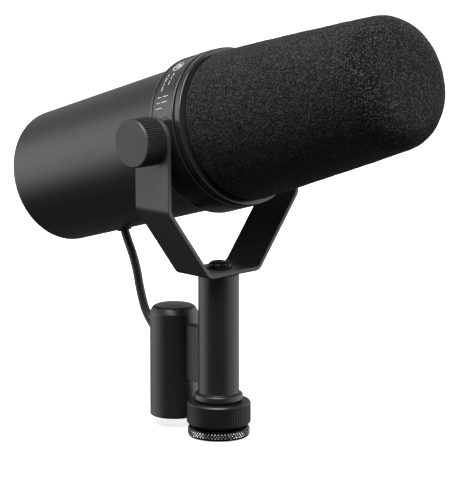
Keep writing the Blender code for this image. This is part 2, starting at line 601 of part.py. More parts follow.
def make_connector():
    """Connector housing on its bracket, with the three-pin insert inside."""
    behind = (0, CONNECTOR_Y, 0)
    inner = CONNECTOR_RADIUS - CONNECTOR_WALL
    crown = arc((CONNECTOR_RADIUS - 3, CONNECTOR_TOP - 3), 3, 90, 0, 4)
    shell = turned("connector_shell", [
        (0, CONNECTOR_TOP), *crown, (CONNECTOR_RADIUS, CONNECTOR_BOTTOM + 0.8),
        (CONNECTOR_RADIUS - 0.5, CONNECTOR_BOTTOM), (inner, CONNECTOR_BOTTOM),
        (inner, CONNECTOR_TOP - 4), (inner - 2, CONNECTOR_TOP - 1.8), (0, CONNECTOR_TOP - 1.8)],
        SATIN_BLACK, MEDIUM, at=behind)
    bracket = box("connector_bracket",
                  (2 * BRACKET_HALF, BRACKET_Y[1] - BRACKET_Y[0], BRACKET_TOP - BRACKET_BOTTOM),
                  SATIN_BLACK, at=(0, sum(BRACKET_Y) / 2, (BRACKET_TOP + BRACKET_BOTTOM) / 2))
    cut(bracket, rod("stem_clearance", STEM_RADIUS + GAP, 10, 60, None, FINE))
    cut(bracket, rod("shell_clearance", CONNECTOR_RADIUS + GAP, 10, 60, None, MEDIUM, at=behind))
    stem = bpy.data.objects["stem_tube"]
    seat = CONNECTOR_Y - inner + 0.6
    for name, height in zip(("lower", "upper"), BRACKET_SCREWS):
        place = {"at": (0, 0, height), "turn": (-90, 0, 0)}
        bore = rod(f"{name}_screw_bore", 1.8, 3.0, seat + 0.4, None, TINY, **place)
        for thing in (stem, bracket, shell):
            cut(thing, bore)
        turned(f"{name}_bracket_screw", [
            (0, seat + 2.0), (2.2, seat + 2.0), (2.6, seat + 1.4), (2.6, seat), (1.5, seat),
            (1.5, 5.2), (0, 5.2)], STEEL, TINY, **place)
    insert = rod("connector_insert", inner - GAP, INSERT_BOTTOM, INSERT_TOP, BLACK_PLASTIC,
                 MEDIUM, at=behind)
    for number in range(3):
        angle = math.radians(90 + 120 * number)
        spot = (PIN_CIRCLE * math.cos(angle), CONNECTOR_Y + PIN_CIRCLE * math.sin(angle), 0)
        cut(insert, rod(f"pin_hole_{number + 1}", PIN_RADIUS + 0.25, 15, 25, None, TINY, at=spot))
        turned(f"contact_pin_{number + 1}", [
            (0, PIN_TOP), (PIN_RADIUS, PIN_TOP), (PIN_RADIUS, PIN_BOTTOM + 0.8),
            (0.6, PIN_BOTTOM), (0, PIN_BOTTOM)],
            NICKEL, TINY, at=spot)
    lock = {"at": (0, 0, (INSERT_TOP + INSERT_BOTTOM) / 2), "turn": (-90, 0, 0)}
    lock_bore = rod("lock_screw_bore", 1.5, 32.2, 38.0, None, TINY, **lock)
    cut(shell, lock_bore)
    cut(insert, lock_bore)
    rod("insert_lock_screw", 1.2, 32.5, CONNECTOR_Y + CONNECTOR_RADIUS - 0.2, STEEL, TINY, **lock)
    make_boot(shell)


def make_boot(shell):
    """Rubber bush where the lead enters the connector housing."""
    place = {"at": (0, *BOOT_POINT), "turn": (math.degrees(BOOT_SLOPE) - 90, 0, 0)}
    cut(shell, rod("boot_hole", BOOT_RADIUS + GAP, -7.0, 6.0, None, COARSE, **place))
    turned("cable_boot", [
        (BOOT_RADIUS - 0.3, 1.7), (BOOT_RADIUS, 1.2), (BOOT_RADIUS, -2.8), (CABLE_BORE, -2.8),
        (CABLE_BORE, 1.7)],
        RUBBER, COARSE, **place)


def make_cable():
    """Lead between the head and the connector housing, one smooth S."""
    points = smooth_route(CABLE_ROUTE, CABLE_STEP)
    curve = bpy.data.curves.new("microphone_lead", "CURVE")
    curve.dimensions = "3D"
    curve.bevel_depth = CABLE_RADIUS * MM
    curve.bevel_resolution = 2
    curve.use_fill_caps = True
    spline = curve.splines.new("POLY")
    spline.points.add(len(points) - 1)
    for point, (y, z) in zip(spline.points, points):
        point.co = (0, y * MM, z * MM, 1)
    put(bpy.data.objects.new("microphone_lead", curve), RUBBER)


clear_scene()
PARTS = new_collection("broadcast_microphone")
CUTTERS = new_collection("cutters")

SATIN_BLACK = finish("satin black paint", "#2b2b2c", 0.45)
BLACK_ALUMINIUM = finish("black anodised aluminium", "#1d1d1e", 0.4, 0.8)
KNOB_BLACK = finish("black moulded knob", "#262627", 0.5)
BLACK_PLASTIC = finish("black plastic", "#151516", 0.5)
RED_PLASTIC = finish("red plastic", "#8c1d18", 0.45)
BLUE_PLASTIC = finish("blue sleeve", "#23416e", 0.4)
BOARD = finish("green circuit board", "#1f4a2c", 0.5)
RUBBER = finish("black rubber", "#1a1a1b", 0.75)
FOAM = finish("open-cell foam", "#1c1c1d", 0.95)
CLEAR_FILM = finish("polyester film", "#c9c6b8", 0.2)
LABEL_GREY = finish("printed label", "#58585a", 0.5)
COPPER = finish("enamelled copper", "#8a4a22", 0.35, 0.9)
ALUMINIUM = finish("turned aluminium", "#a9abad", 0.35, 1.0)
STEEL = finish("zinc-plated steel", "#9a9c9e", 0.35, 1.0)
STEEL_BLACK = finish("blackened steel", "#202122", 0.45, 0.8)
NICKEL = finish("nickel plate", "#c4c2bd", 0.25, 1.0)

HEAD = bpy.data.objects.new("tilt_axis", None)
HEAD.location = (0, 0, PIVOT_Z * MM)
HEAD.rotation_euler = (math.pi / 2 - TILT, 0, 0)
PARTS.objects.link(HEAD)

make_switches(make_rear_housing())
make_filter_board()
make_collar()
make_cage()
make_windscreen()
make_capsule()
make_pivot("left", -90)
make_pivot("right", 90)
make_yoke()
make_stem()
make_connector()
make_cable()
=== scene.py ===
"""Broadcast microphone in a tilting yoke: the shapes and finishes that are seen.

Each class is one sub-assembly of the real microphone. It holds its own sizes, shapes its
pieces and dresses them. Sizes are in millimetres while a piece is shaped, and
SubAssembly.fit turns them into metres in the frame's axes. Head pieces are shaped about
the head's own axis: x across, y up and z forward from the tilt axis.
"""

import json
import logging
import math
from dataclasses import dataclass
from enum import Enum
from typing import Callable, Sequence

import bpy
from mathutils import Euler, Matrix, Vector


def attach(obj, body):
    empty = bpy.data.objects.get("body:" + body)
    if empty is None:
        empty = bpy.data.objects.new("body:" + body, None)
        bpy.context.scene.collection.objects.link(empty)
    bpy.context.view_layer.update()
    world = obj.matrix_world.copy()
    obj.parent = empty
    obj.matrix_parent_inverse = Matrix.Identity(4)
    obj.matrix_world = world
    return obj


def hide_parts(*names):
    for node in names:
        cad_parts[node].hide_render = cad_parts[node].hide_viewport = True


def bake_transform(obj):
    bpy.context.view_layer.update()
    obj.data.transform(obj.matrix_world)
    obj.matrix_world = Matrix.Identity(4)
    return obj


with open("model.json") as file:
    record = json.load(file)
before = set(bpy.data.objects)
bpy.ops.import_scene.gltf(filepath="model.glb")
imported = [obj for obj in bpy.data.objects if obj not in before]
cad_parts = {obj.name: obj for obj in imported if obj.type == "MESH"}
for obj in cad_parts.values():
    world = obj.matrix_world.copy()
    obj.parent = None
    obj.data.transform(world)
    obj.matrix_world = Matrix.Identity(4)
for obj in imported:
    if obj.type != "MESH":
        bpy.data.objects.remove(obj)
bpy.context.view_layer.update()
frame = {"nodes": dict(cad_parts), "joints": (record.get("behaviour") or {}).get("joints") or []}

LOG = logging.getLogger("microphone")
MM = 0.001
WELD = 0.003                    # vertices closer than this are one
POLE = 0.001                    # radius that stands for a point on the axis
Outline = Sequence[tuple[float, ...]]
Test = Callable[[Vector, Vector], bool]


class Side(Enum):
    """The two ends of the tilt axis."""

    LEFT = -1
    RIGHT = 1


class Drive(Enum):
    """What a screw head is turned with, as (sides of the recess, its width)."""

    CROSS = (4, 0.28)
    HEXAGON = (6, 1.0)


# ---------------------------------------------------------------- shaping


def joint_named(name: str) -> dict:
    """Return the frame's joint of that name."""
    return next(joint for joint in frame["joints"] if joint["name"] == name)


def head_place() -> Matrix:
    """Return the head's own frame, read from its tilt axis and the windscreen's slide."""
    forward = Vector(joint_named("windscreen_pull")["axis"]).normalized()
    across = Vector((1, 0, 0))
    up = forward.cross(across)
    turned = Matrix((across, up, forward)).transposed().to_4x4()
    return Matrix.Translation(joint_named("head_tilt")["pos_m"]) @ turned @ Matrix.Scale(MM, 4)


def moved(x: float = 0, y: float = 0, z: float = 0,
    turn: tuple[float, float, float] = (0, 0, 0)) -> Matrix:
    """Return a shift in millimetres with a turn in degrees before it.

    Args:
        x: Shift along x.
        y: Shift along y.
        z: Shift along z.
        turn: Euler angles in degrees.
    """
    euler = Euler([math.radians(angle) for angle in turn])
    return Matrix.Translation((x, y, z)) @ euler.to_matrix().to_4x4()


def clear_selection() -> None:
    """Leave edit mode and select nothing."""
    if bpy.context.object and bpy.context.object.mode != "OBJECT":
        bpy.ops.object.mode_set(mode="OBJECT")
    bpy.ops.object.select_all(action="DESELECT")


def choose(piece: bpy.types.Object) -> None:
    """Select one object alone and make it active."""
    clear_selection()
    piece.select_set(True)
    bpy.context.view_layer.objects.active = piece


def soften(corners: Outline, closed: bool, steps: int) -> list[tuple[float, float]]:
    """Round the corners of an outline, with a ring beside each to keep its flats flat.

    Args:
        corners: (radius, height) or (radius, height, rounding) of each corner.
        closed: Whether the last corner joins the first.
        steps: Faces round each corner.

    Returns:
        The rings' (radius, height), with the first repeated at the end if closed.
    """
    rings: list[tuple[float, float]] = []
    for number, corner in enumerate(corners):
        here = Vector(corner[:2])
        if len(corner) == 2:
            rings.append(tuple(here))
            continue
        size = corner[2]
        before = Vector(corners[number - 1][:2]) - here
        after = Vector(corners[(number + 1) % len(corners)][:2]) - here
        a, b = before.normalized(), after.normalized()
        half = math.acos(max(-1.0, min(1.0, a.dot(b)))) / 2
        reach = size / math.tan(half)
        centre = here + (a + b).normalized() * size / math.sin(half)
        first, last = here + a * reach - centre, here + b * reach - centre
        start = math.atan2(first.y, first.x)
        sweep = math.remainder(math.atan2(last.y, last.x) - start, math.tau)
        hold_a = reach + min(0.3 * size, 0.4 * max(before.length - reach, 0))
        hold_b = reach + min(0.3 * size, 0.4 * max(after.length - reach, 0))
        rings.append(tuple(here + a * hold_a))
        for step in range(steps + 1):
            angle = start + sweep * step / steps
            rings.append((centre.x + size * math.cos(angle), centre.y + size * math.sin(angle)))
        rings.append(tuple(here + b * hold_b))
    if closed:
        rings.append(rings[0])
    return rings


def turn(name: str, corners: Outline, sides: int = 96, steps: int = 4) -> bpy.types.Object:
    """Shape a turned piece about z by extruding a circle from ring to ring.

    Args:
        name: Name of the new piece.
        corners: Its outline, closed unless both ends are on the axis.
        sides: Sides round the axis.
        steps: Faces round each softened corner.

    Returns:
        The new piece, in millimetres.
    """
    clear_selection()
    open_ended = corners[0][0] == 0 and corners[-1][0] == 0
    rings = [(max(r, POLE), h) for r, h in soften(corners, not open_ended, steps)]
    bpy.ops.mesh.primitive_circle_add(vertices=sides, radius=rings[0][0], location=(0, 0, rings[0][1]))
    piece = bpy.context.object
    bpy.ops.object.transform_apply(location=True)
    bpy.ops.object.mode_set(mode="EDIT")
    bpy.ops.mesh.select_mode(type="VERT")
    bpy.ops.mesh.select_all(action="SELECT")
    for (radius, height), (wider, higher) in zip(rings, rings[1:]):
        bpy.ops.mesh.extrude_region_move(TRANSFORM_OT_translate={"value": (0, 0, higher - height)})
        if wider != radius:
            ratio = wider / radius
            bpy.ops.transform.resize(value=(ratio, ratio, 1), center_override=(0, 0, higher))
    return close_up(piece, name)


def close_up(piece: bpy.types.Object, name: str) -> bpy.types.Object:
    """Weld doubles, turn the faces outwards and name the piece."""
    choose(piece)
    bpy.ops.object.mode_set(mode="EDIT")
    bpy.ops.mesh.select_all(action="SELECT")
    bpy.ops.mesh.remove_doubles(threshold=WELD)
    bpy.ops.mesh.normals_make_consistent(inside=False)
    clear_selection()
    piece.name = piece.data.name = name
    return piece


def apply_modifier(piece: bpy.types.Object, kind: str, **settings) -> bpy.types.Object:
    """Add a modifier with its settings and apply it.

    Args:
        piece: The piece to change.
        kind: The modifier's type.
        **settings: Its properties.

    Returns:
        The same piece.
    """
    choose(piece)
    modifier = piece.modifiers.new(kind.title(), kind)
    for key, value in settings.items():
        setattr(modifier, key, value)
    bpy.ops.object.modifier_apply(modifier=modifier.name)
    return piece


def block(name: str, size: Sequence[float], centre: Sequence[float],
    edge: float = 0.3) -> bpy.types.Object:
    """Shape a bar with rounded edges.

    Args:
        name: Name of the new piece.
        size: Its length along each axis.
        centre: Its middle.
        edge: Radius of its edges, or 0 for sharp ones.

    Returns:
        The new piece, in millimetres.
    """
    clear_selection()
    bpy.ops.mesh.primitive_cube_add(size=1)
    piece = bpy.context.object
    bpy.ops.object.mode_set(mode="EDIT")
    bpy.ops.mesh.select_all(action="SELECT")
    bpy.ops.transform.resize(value=size, center_override=(0, 0, 0))
    bpy.ops.transform.translate(value=centre)
    if edge:
        bpy.ops.mesh.bevel(offset=edge, segments=3, affect="EDGES")
    return close_up(piece, name)


def carve(piece: bpy.types.Object, cutter: bpy.types.Object,
    place: Matrix | None = None) -> bpy.types.Object:
    """Cut one piece out of another and remove the cutter.

    Args:
        piece: The piece that is cut.
        cutter: The shape taken away.
        place: Where the cutter goes, if it isn't there already.

    Returns:
        The cut piece.
    """
    if place is not None:
        cutter.matrix_world = place
        choose(cutter)
        bpy.ops.object.transform_apply(location=True, rotation=True, scale=True)
    apply_modifier(piece, "BOOLEAN", operation="DIFFERENCE", solver="EXACT", object=cutter)
    bpy.data.objects.remove(cutter, do_unlink=True)
    return piece


def pick_faces(piece: bpy.types.Object, test: Test) -> None:
    """Go into edit mode with only the faces selected that pass a test.

    Args:
        piece: The piece to work on.
        test: Says whether a face with that centre and normal is wanted.
    """
    choose(piece)
    bpy.ops.object.mode_set(mode="EDIT")
    bpy.ops.mesh.select_mode(type="FACE")
    bpy.ops.mesh.select_all(action="DESELECT")
    bpy.ops.object.mode_set(mode="OBJECT")
    for face in piece.data.polygons:
        face.select = test(face.center, face.normal)
    bpy.ops.object.mode_set(mode="EDIT")


def sink_wall(piece: bpy.types.Object, test: Test, ratio: float) -> None:
    """Extrude the chosen wall faces towards the axis.

    Args:
        piece: The turned piece.
        test: Chooses the faces.
        ratio: Their new radius over their old one.
    """
    pick_faces(piece, test)
    bpy.ops.mesh.extrude_region_move()
    bpy.ops.transform.resize(value=(ratio, ratio, 1), center_override=(0, 0, 0))
    clear_selection()


def rib_wall(piece: bpy.types.Object, count: int, span: tuple[float, float], radius: float,
    depth: float) -> None:
    """Sink every second side face, which leaves straight ribs.

    Args:
        piece: A turned piece with twice as many sides as ribs.
        count: How many ribs.
        span: Lowest and highest height of the ribbed band.
        radius: Radius of the band.
        depth: Depth of the grooves.
    """
    step = math.pi / count

    def groove(centre: Vector, normal: Vector) -> bool:
        """Whether a face is on the band and in an even place round it."""
        number = round(math.atan2(centre.y, centre.x) / step - 0.5)
        on_wall = abs(normal.z) < 0.2 and math.hypot(centre.x, centre.y) > radius - 0.6
        return on_wall and span[0] < centre.z < span[1] and number % 2 == 0

    sink_wall(piece, groove, (radius - depth) / radius)


def strokes(name: str, lines: Sequence[Sequence[Sequence[float]]], thickness: float,
            roundness: int = 1) -> bpy.types.Object:
    """Draw thin round lines through points, as a mesh.

    Args:
        name: Name of the new piece.
        lines: The points of each line.
        thickness: Radius of a line.
        roundness: How finely its section is rounded.

    Returns:
        The new piece, in millimetres.
    """
    clear_selection()
    curve = bpy.data.curves.new(name, "CURVE")
    curve.dimensions = "3D"
    curve.bevel_depth = thickness
    curve.bevel_resolution = roundness
    curve.use_fill_caps = True
    for line in lines:
        spline = curve.splines.new("POLY")
        spline.points.add(len(line) - 1)
        for point, place in zip(spline.points, line):
            point.co = (*place, 1)
    piece = bpy.data.objects.new(name, curve)
    bpy.context.scene.collection.objects.link(piece)
    choose(piece)
    bpy.ops.object.convert(target="MESH")
    return close_up(bpy.context.object, name)


def screw_head(name: str, radius: float, height: float, drive: Drive, socket: float) -> bpy.types.Object:
    """Shape a low domed screw head on z = 0 with its recess.

    Args:
        name: Name of the new piece.
        radius: Radius of the head.
        height: Height of the head.
        drive: What it is turned with.
        socket: Radius of the recess.

    Returns:
        The new piece, in millimetres.
    """
    head = turn(name, [(0, height), (radius * 0.62, height * 0.97),
        (radius * 0.9, height * 0.62, radius * 0.3),
                       (radius, 0, 0.1), (0, 0)], 48)
    sides, width = drive.value
    if drive is Drive.CROSS:
        for angle in (0, 90):
            arm = block("arm", (2 * socket, 2 * socket * width, height), (0, 0, height), 0)
            carve(head, arm, moved(turn=(0, 0, angle)))
    else:
        carve(head, turn("socket", [(0, 2 * height), (socket, 2 * height), (socket, height * 0.35),
                                    (0, height * 0.35)], sides))
    return head


# --------------------------------------------------------------- finishes


def linear(code: str) -> tuple[float, float, float, float]:
    """Turn an sRGB hex colour into linear RGBA."""
    channels = [int(code[i:i + 2], 16) / 255 for i in (1, 3, 5)]
    return (*(c / 12.92 if c <= 0.04045 else ((c + 0.055) / 1.055) ** 2.4 for c in channels), 1.0)


def per_mm(size: float) -> float:
    """Return a texture's scale for a feature of that size in millimetres."""
    return 1 / (size * MM)


def add_node(tree: bpy.types.NodeTree, kind: str, inputs: dict | None = None,
    **settings) -> bpy.types.Node:
    """Add one shader node.

    Args:
        tree: The material's node tree.
        kind: The node's type, without its ShaderNode prefix.
        inputs: Value or output socket for each input, by name or number.
        **settings: The node's own properties.

    Returns:
        The new node.
    """
    node = tree.nodes.new("ShaderNode" + kind)
    for key, value in settings.items():
        setattr(node, key, value)
    for key, value in (inputs or {}).items():
        if isinstance(value, bpy.types.NodeSocket):
            tree.links.new(value, node.inputs[key])
        else:
            node.inputs[key].default_value = value
    return node


def ramp(tree: bpy.types.NodeTree, factor: bpy.types.NodeSocket,
    *stops: tuple[float, str]) -> bpy.types.NodeSocket:
    """Add a colour ramp.

    Args:
        tree: The material's node tree.
        factor: What it reads.
        *stops: (position, hex colour) of each stop.

    Returns:
        Its colour output.
    """
    node = add_node(tree, "ValToRGB", {"Fac": factor})
    elements = node.color_ramp.elements
    while len(elements) < len(stops):
        elements.new(0.5)
    for element, (position, code) in zip(elements, stops):
        element.position = position
        element.color = linear(code)
    return node.outputs["Color"]


def smooth_step(tree: bpy.types.NodeTree, value: bpy.types.NodeSocket, start: float, end: float,
    low: float,
                high: float) -> bpy.types.NodeSocket:
    """Add a soft step from low to high as the value goes from start to end, and return its output."""
    node = add_node(tree, "MapRange", {"Value": value, "From Min": start, "From Max": end, "To Min": low,
                                       "To Max": high}, interpolation_type="SMOOTHSTEP")
    return node.outputs["Result"]


@dataclass(frozen=True)
class Finish:
    """What every finish has: its tones, its gloss and the size of its grain."""

    name: str
    low: str                    # tone in the hollows
    high: str                   # tone on the crests
    gloss: tuple[float, float]  # lowest and highest roughness
    grain: float = 0.4          # millimetres
    relief: float = 0.02        # millimetres
    metallic: float = 0.0

    def material(self) -> bpy.types.Material:
        """Return the finish's material, which is made on first use."""
        known = bpy.data.materials.get(self.name)
        if known:
            return known
        material = bpy.data.materials.new(self.name)
        material.use_nodes = True
        tree = material.node_tree
        shader = tree.nodes["Principled BSDF"]
        shader.inputs["Metallic"].default_value = self.metallic
        self.dress(tree, shader, add_node(tree, "TexCoord").outputs["Object"])
        return material

    def dress(self, tree: bpy.types.NodeTree, shader: bpy.types.Node,
        place: bpy.types.NodeSocket) -> None:
        """Give the shader its colour, gloss and relief.

        Args:
            tree: The material's node tree.
            shader: Its Principled BSDF.
            place: Object coordinates.
        """
        patches = self.noise(tree, place, self.grain * 30, 2)
        grains = self.noise(tree, place, self.grain, 3)
        mixed = add_node(tree, "Math", {0: patches, 1: grains}, operation="MULTIPLY").outputs[0]
        self.colour(tree, shader, ramp(tree, mixed, (0.12, self.low), (0.42, self.high)))
        self.set_gloss(tree, shader, patches)
        self.raise_grain(tree, shader, grains, 0.35)

    @staticmethod
    def noise(tree: bpy.types.NodeTree, place: bpy.types.NodeSocket, size: float,
        detail: float) -> bpy.types.NodeSocket:
        """Add noise of a size in millimetres and return its factor."""
        return add_node(tree, "TexNoise", {"Vector": place, "Scale": per_mm(size),
            "Detail": detail}).outputs["Fac"]

    @staticmethod
    def colour(tree: bpy.types.NodeTree, shader: bpy.types.Node, source: bpy.types.NodeSocket) -> None:
        """Link a colour to the shader."""
        tree.links.new(source, shader.inputs["Base Color"])

    def set_gloss(self, tree: bpy.types.NodeTree, shader: bpy.types.Node,
        source: bpy.types.NodeSocket) -> None:
        """Vary the roughness between the finish's two limits."""
        spread = add_node(tree, "MapRange", {"Value": source, "From Min": 0.3, "From Max": 0.7,
                                             "To Min": self.gloss[0], "To Max": self.gloss[1]})
        tree.links.new(spread.outputs["Result"], shader.inputs["Roughness"])

    def raise_grain(self, tree: bpy.types.NodeTree, shader: bpy.types.Node, source: bpy.types.NodeSocket,
                    strength: float) -> None:
        """Give the surface its relief.

        Args:
            tree: The material's node tree.
            shader: Its Principled BSDF.
            source: Height of the surface, from 0 to 1.
            strength: Share of the relief that shows.
        """
        bump = add_node(tree, "Bump", {"Height": source, "Strength": strength,
            "Distance": self.relief * MM})
        tree.links.new(bump.outputs["Normal"], shader.inputs["Normal"])


@dataclass(frozen=True)
class PowderCoat(Finish):
    """Baked polyester powder: a faint orange peel that blurs the lamps into broad soft bands."""

    peel: float = 1.6           # millimetres from crest to crest

    def dress(self, tree: bpy.types.NodeTree, shader: bpy.types.Node,
        place: bpy.types.NodeSocket) -> None:
        """Mix fine grit with orange peel, and let the gloss drift a little."""
        patches = self.noise(tree, place, 22.0, 3)
        grit = self.noise(tree, place, self.grain, 2)
        waves = self.noise(tree, place, self.peel, 1)
        self.colour(tree, shader, ramp(tree, patches, (0.3, self.low), (0.7, self.high)))
        self.set_gloss(tree, shader, grit)
        height = add_node(tree, "Math", {0: waves, 1: 0.6, 2: grit}, operation="MULTIPLY_ADD").outputs[0]
        self.raise_grain(tree, shader, height, 0.3)


@dataclass(frozen=True)
class OpenCellFoam(Finish):
    """Reticulated polyurethane foam: dark pores between thin struts, with a painted highlight where the
    struts catch a little light.
    """

    painted_glint: str = "#444443"      # struts that face a lamp

    def dress(self, tree: bpy.types.NodeTree, shader: bpy.types.Node,
        place: bpy.types.NodeSocket) -> None:
        """Draw pores as cells and struts between them, and lighten sparse strut ends as a painted
        highlight.
        """
        cells = add_node(tree, "TexVoronoi", {"Vector": place, "Scale": per_mm(self.grain),
            "Randomness": 1.0})
        struts = cells.outputs["Distance"]
        chance = add_node(tree, "SeparateColor", {"Color": cells.outputs["Color"]}).outputs["Red"]
        # painted highlight: a random share of the cells is lightened towards the glint tone of struts
        # that face a lamp
        self.colour(tree, shader, ramp(tree, chance, (0.0, self.low), (0.7, self.high),
            (1.0, self.painted_glint)))
        self.set_gloss(tree, shader, struts)
        self.raise_grain(tree, shader, struts, 0.9)
        shader.inputs["Specular IOR Level"].default_value = 0.1
        shader.inputs["Sheen Weight"].default_value = 0.05


@dataclass(frozen=True)
class TurnedMetal(Finish):
    """Lathe-turned metal: fine rings about the head's axis that stretch its highlights."""

    pitch: float = 0.5          # millimetres; finer than this would not show

    def dress(self, tree: bpy.types.NodeTree, shader: bpy.types.Node,
        place: bpy.types.NodeSocket) -> None:
        """Draw the tool's rings along the axis and a light drift of tone."""
        along = head_coordinates(tree, place)
        rings = add_node(tree, "TexWave", {"Vector": along, "Scale": per_mm(self.pitch) / 20,
            "Distortion": 0.6,
                                           "Detail": 2.0}, bands_direction="Z").outputs["Fac"]
        patches = self.noise(tree, place, 9.0, 3)
        self.colour(tree, shader, ramp(tree, patches, (0.3, self.low), (0.7, self.high)))
        self.set_gloss(tree, shader, patches)
        self.raise_grain(tree, shader, rings, 0.4)


@dataclass(frozen=True)
class Knurled(Finish):
    """Plated knurl: a painted shade darkens its grooves, and its crests keep the plate's bright tone."""

    groove: float = 12.3        # distance from the stem's axis in millimetres
    crest: float = 12.8

    def dress(self, tree: bpy.types.NodeTree, shader: bpy.types.Node,
        place: bpy.types.NodeSocket) -> None:
        """Darken the metal by how deep it lies under the knurl's crests: a painted shade in the grooves.
        """
        flat = add_node(tree, "VectorMath", {0: place, 1: (1, 1, 0)},
            operation="MULTIPLY").outputs["Vector"]
        away = add_node(tree, "VectorMath", {0: flat}, operation="LENGTH").outputs["Value"]
        height = smooth_step(tree, away, self.groove * MM, self.crest * MM, 0.0, 1.0)
        # painted shade: the tone falls from bright nickel on the crests to near black in the grooves
        self.colour(tree, shader, ramp(tree, height, (0.1, self.low), (0.9, self.high)))
        self.set_gloss(tree, shader, self.noise(tree, place, self.grain, 3))
        self.raise_grain(tree, shader, self.noise(tree, place, self.grain / 2, 2), 0.3)


@dataclass(frozen=True)
class Winding(Finish):
    """Enamelled copper wire in close turns: bright crests, with painted shade in the lines between the
    turns.
    """

    wire: float = 0.5           # millimetres; coarser than the real wire, so that it shows

    def dress(self, tree: bpy.types.NodeTree, shader: bpy.types.Node,
        place: bpy.types.NodeSocket) -> None:
        """Draw the turns along the head's axis, with painted shade between them."""
        turns = add_node(tree, "TexWave", {"Vector": head_coordinates(tree, place),
            "Scale": per_mm(self.wire) / 20,
                                           "Distortion": 0.2}, bands_direction="Z").outputs["Fac"]
        # painted shade: the copper darkens to deep brown in the lines between the turns
        self.colour(tree, shader, ramp(tree, turns, (0.1, self.low), (0.7, self.high)))
        self.set_gloss(tree, shader, turns)
        self.raise_grain(tree, shader, turns, 0.8)


@dataclass(frozen=True)
class CircuitBoard(Finish):
    """Solder mask over glass fibre: green lacquer with paler tracks under it."""

    track: str = "#3d7a4b"

    def dress(self, tree: bpy.types.NodeTree, shader: bpy.types.Node,
        place: bpy.types.NodeSocket) -> None:
        """Draw tracks as the edges of square cells."""
        cells = add_node(tree, "TexVoronoi", {"Vector": head_coordinates(tree, place),
            "Scale": per_mm(4.0)},
                         feature="F1", distance="CHEBYCHEV").outputs["Distance"]
        self.colour(tree, shader, ramp(tree, cells, (0.3, self.low), (0.42, self.high),
            (0.46, self.track)))
        self.set_gloss(tree, shader, cells)
        self.raise_grain(tree, shader, cells, 0.3)


@dataclass(frozen=True)
class Film(Finish):
    """Clear polyester film: thin, springy and a little milky."""

    def dress(self, tree: bpy.types.NodeTree, shader: bpy.types.Node,
        place: bpy.types.NodeSocket) -> None:
        """Let light through and keep a faint cloudiness."""
        super().dress(tree, shader, place)
        shader.inputs["Transmission Weight"].default_value = 0.6
        shader.inputs["IOR"].default_value = 1.6


def head_coordinates(tree: bpy.types.NodeTree, place: bpy.types.NodeSocket) -> bpy.types.NodeSocket:
    """Turn Object coordinates so that z runs along the head's axis.

    Args:
        tree: The material's node tree.
        place: Object coordinates.

    Returns:
        The turned coordinates.
    """
    rest = head_place()
    turned = rest.to_quaternion().inverted().to_euler()
    node = add_node(tree, "Mapping", {"Vector": place, "Rotation": turned}, vector_type="POINT")
    return node.outputs["Vector"]


# Polyester powder on aluminium and steel: black, with a soft sheen under a broad lamp.
BLACK_PAINT = PowderCoat("Satin black powder coat", "#151516", "#1b1b1c", (0.36, 0.44), 0.35, 0.02)
# Stoved enamel on the collar and its flange: smoother than powder, so its edges flash.
BLACK_ENAMEL = PowderCoat("Stoved black enamel", "#1c1c1d", "#232325", (0.18, 0.25), 0.35, 0.01)
# The yoke's coat is greyer than the housing's as painted light, and a little rougher, so its flat faces
# stand out from the housing.
YOKE_PAINT_WITH_PAINTED_LIGHT = PowderCoat("Satin black powder coat on steel", "#28282a", "#303031", (0.38, 0.46),
                        0.35, 0.02)
# Glass-filled nylon straight from the mould: greyer and duller than the paint.
KNOB_NYLON = Finish("Moulded black nylon", "#202021", "#29292a", (0.45, 0.56), 0.5, 0.03)
# Hard acetal of the stand nut: darker than the paint, with a dry sheen.
NUT_ACETAL = Finish("Moulded black acetal", "#0c0c0d", "#131314", (0.42, 0.52), 0.5, 0.02)
# Acetal washers and the connector insert: smooth, waxy black.
BLACK_ACETAL = Finish("Black acetal", "#0b0b0c", "#121213", (0.3, 0.4), 0.6, 0.01)
# Glossy moulded caps of the two slide switches: deep red.
RED_ABS = Finish("Red ABS", "#7d1510", "#93201a", (0.3, 0.42), 0.6, 0.02)
# Shrunk sleeve of the capacitors: smooth dark blue with a soft gloss.
BLUE_SLEEVE = Finish("Blue heat-shrink sleeve", "#1b3560", "#294a80", (0.3, 0.45), 1.2, 0.04)
# Natural rubber compound: matt, with a faint bloom.
RUBBER = Finish("Black rubber", "#0e0e0f", "#181819", (0.55, 0.72), 0.7, 0.03)
# Soft vinyl of the lead: near black, with a long highlight down its length.
CABLE_JACKET = Finish("PVC cable jacket", "#0c0c0d", "#151516", (0.4, 0.52), 1.0, 0.02)
# Cut foam: no gloss at all; the tips of its cell walls are lit by a painted highlight.
FOAM = OpenCellFoam("Open-cell polyurethane foam", "#020202", "#0a0a0a", (0.9, 1.0), 0.33, 0.15)
# Screen-printed foil on the collar: dark grey ground, off-white ink.
LABEL_FOIL = Finish("Screen-printed foil", "#1f1f20", "#29292b", (0.24, 0.3), 0.5, 0.01)
WHITE_INK = Finish("Off-white screen ink", "#c4c4c1", "#deded9", (0.5, 0.65), 0.4, 0.01)
# Dyed anodising over turned aluminium: dark, with fine rings in its highlight.
ANODISED = TurnedMetal("Black anodised aluminium", "#1c1c1e", "#2a2a2d", (0.32, 0.42), 0.5, 0.02, 0.6)
# Bare turned aluminium: pale, with the rings of the tool.
TURNED_ALUMINIUM = TurnedMetal("Turned aluminium", "#9b9da0", "#b9bbbe", (0.28, 0.4), 0.5, 0.02, 1.0)
# Blued steel: nearly black, a little bluer where the oxide thins.
BLUED_STEEL = Finish("Blued steel", "#141415", "#26262a", (0.32, 0.45), 0.6, 0.02, 0.8)
# Zinc plate: pale grey metal with a blurred mirror.
ZINC_STEEL = Finish("Zinc-plated steel", "#8f9296", "#b4b6b9", (0.25, 0.38), 0.8, 0.01, 1.0)
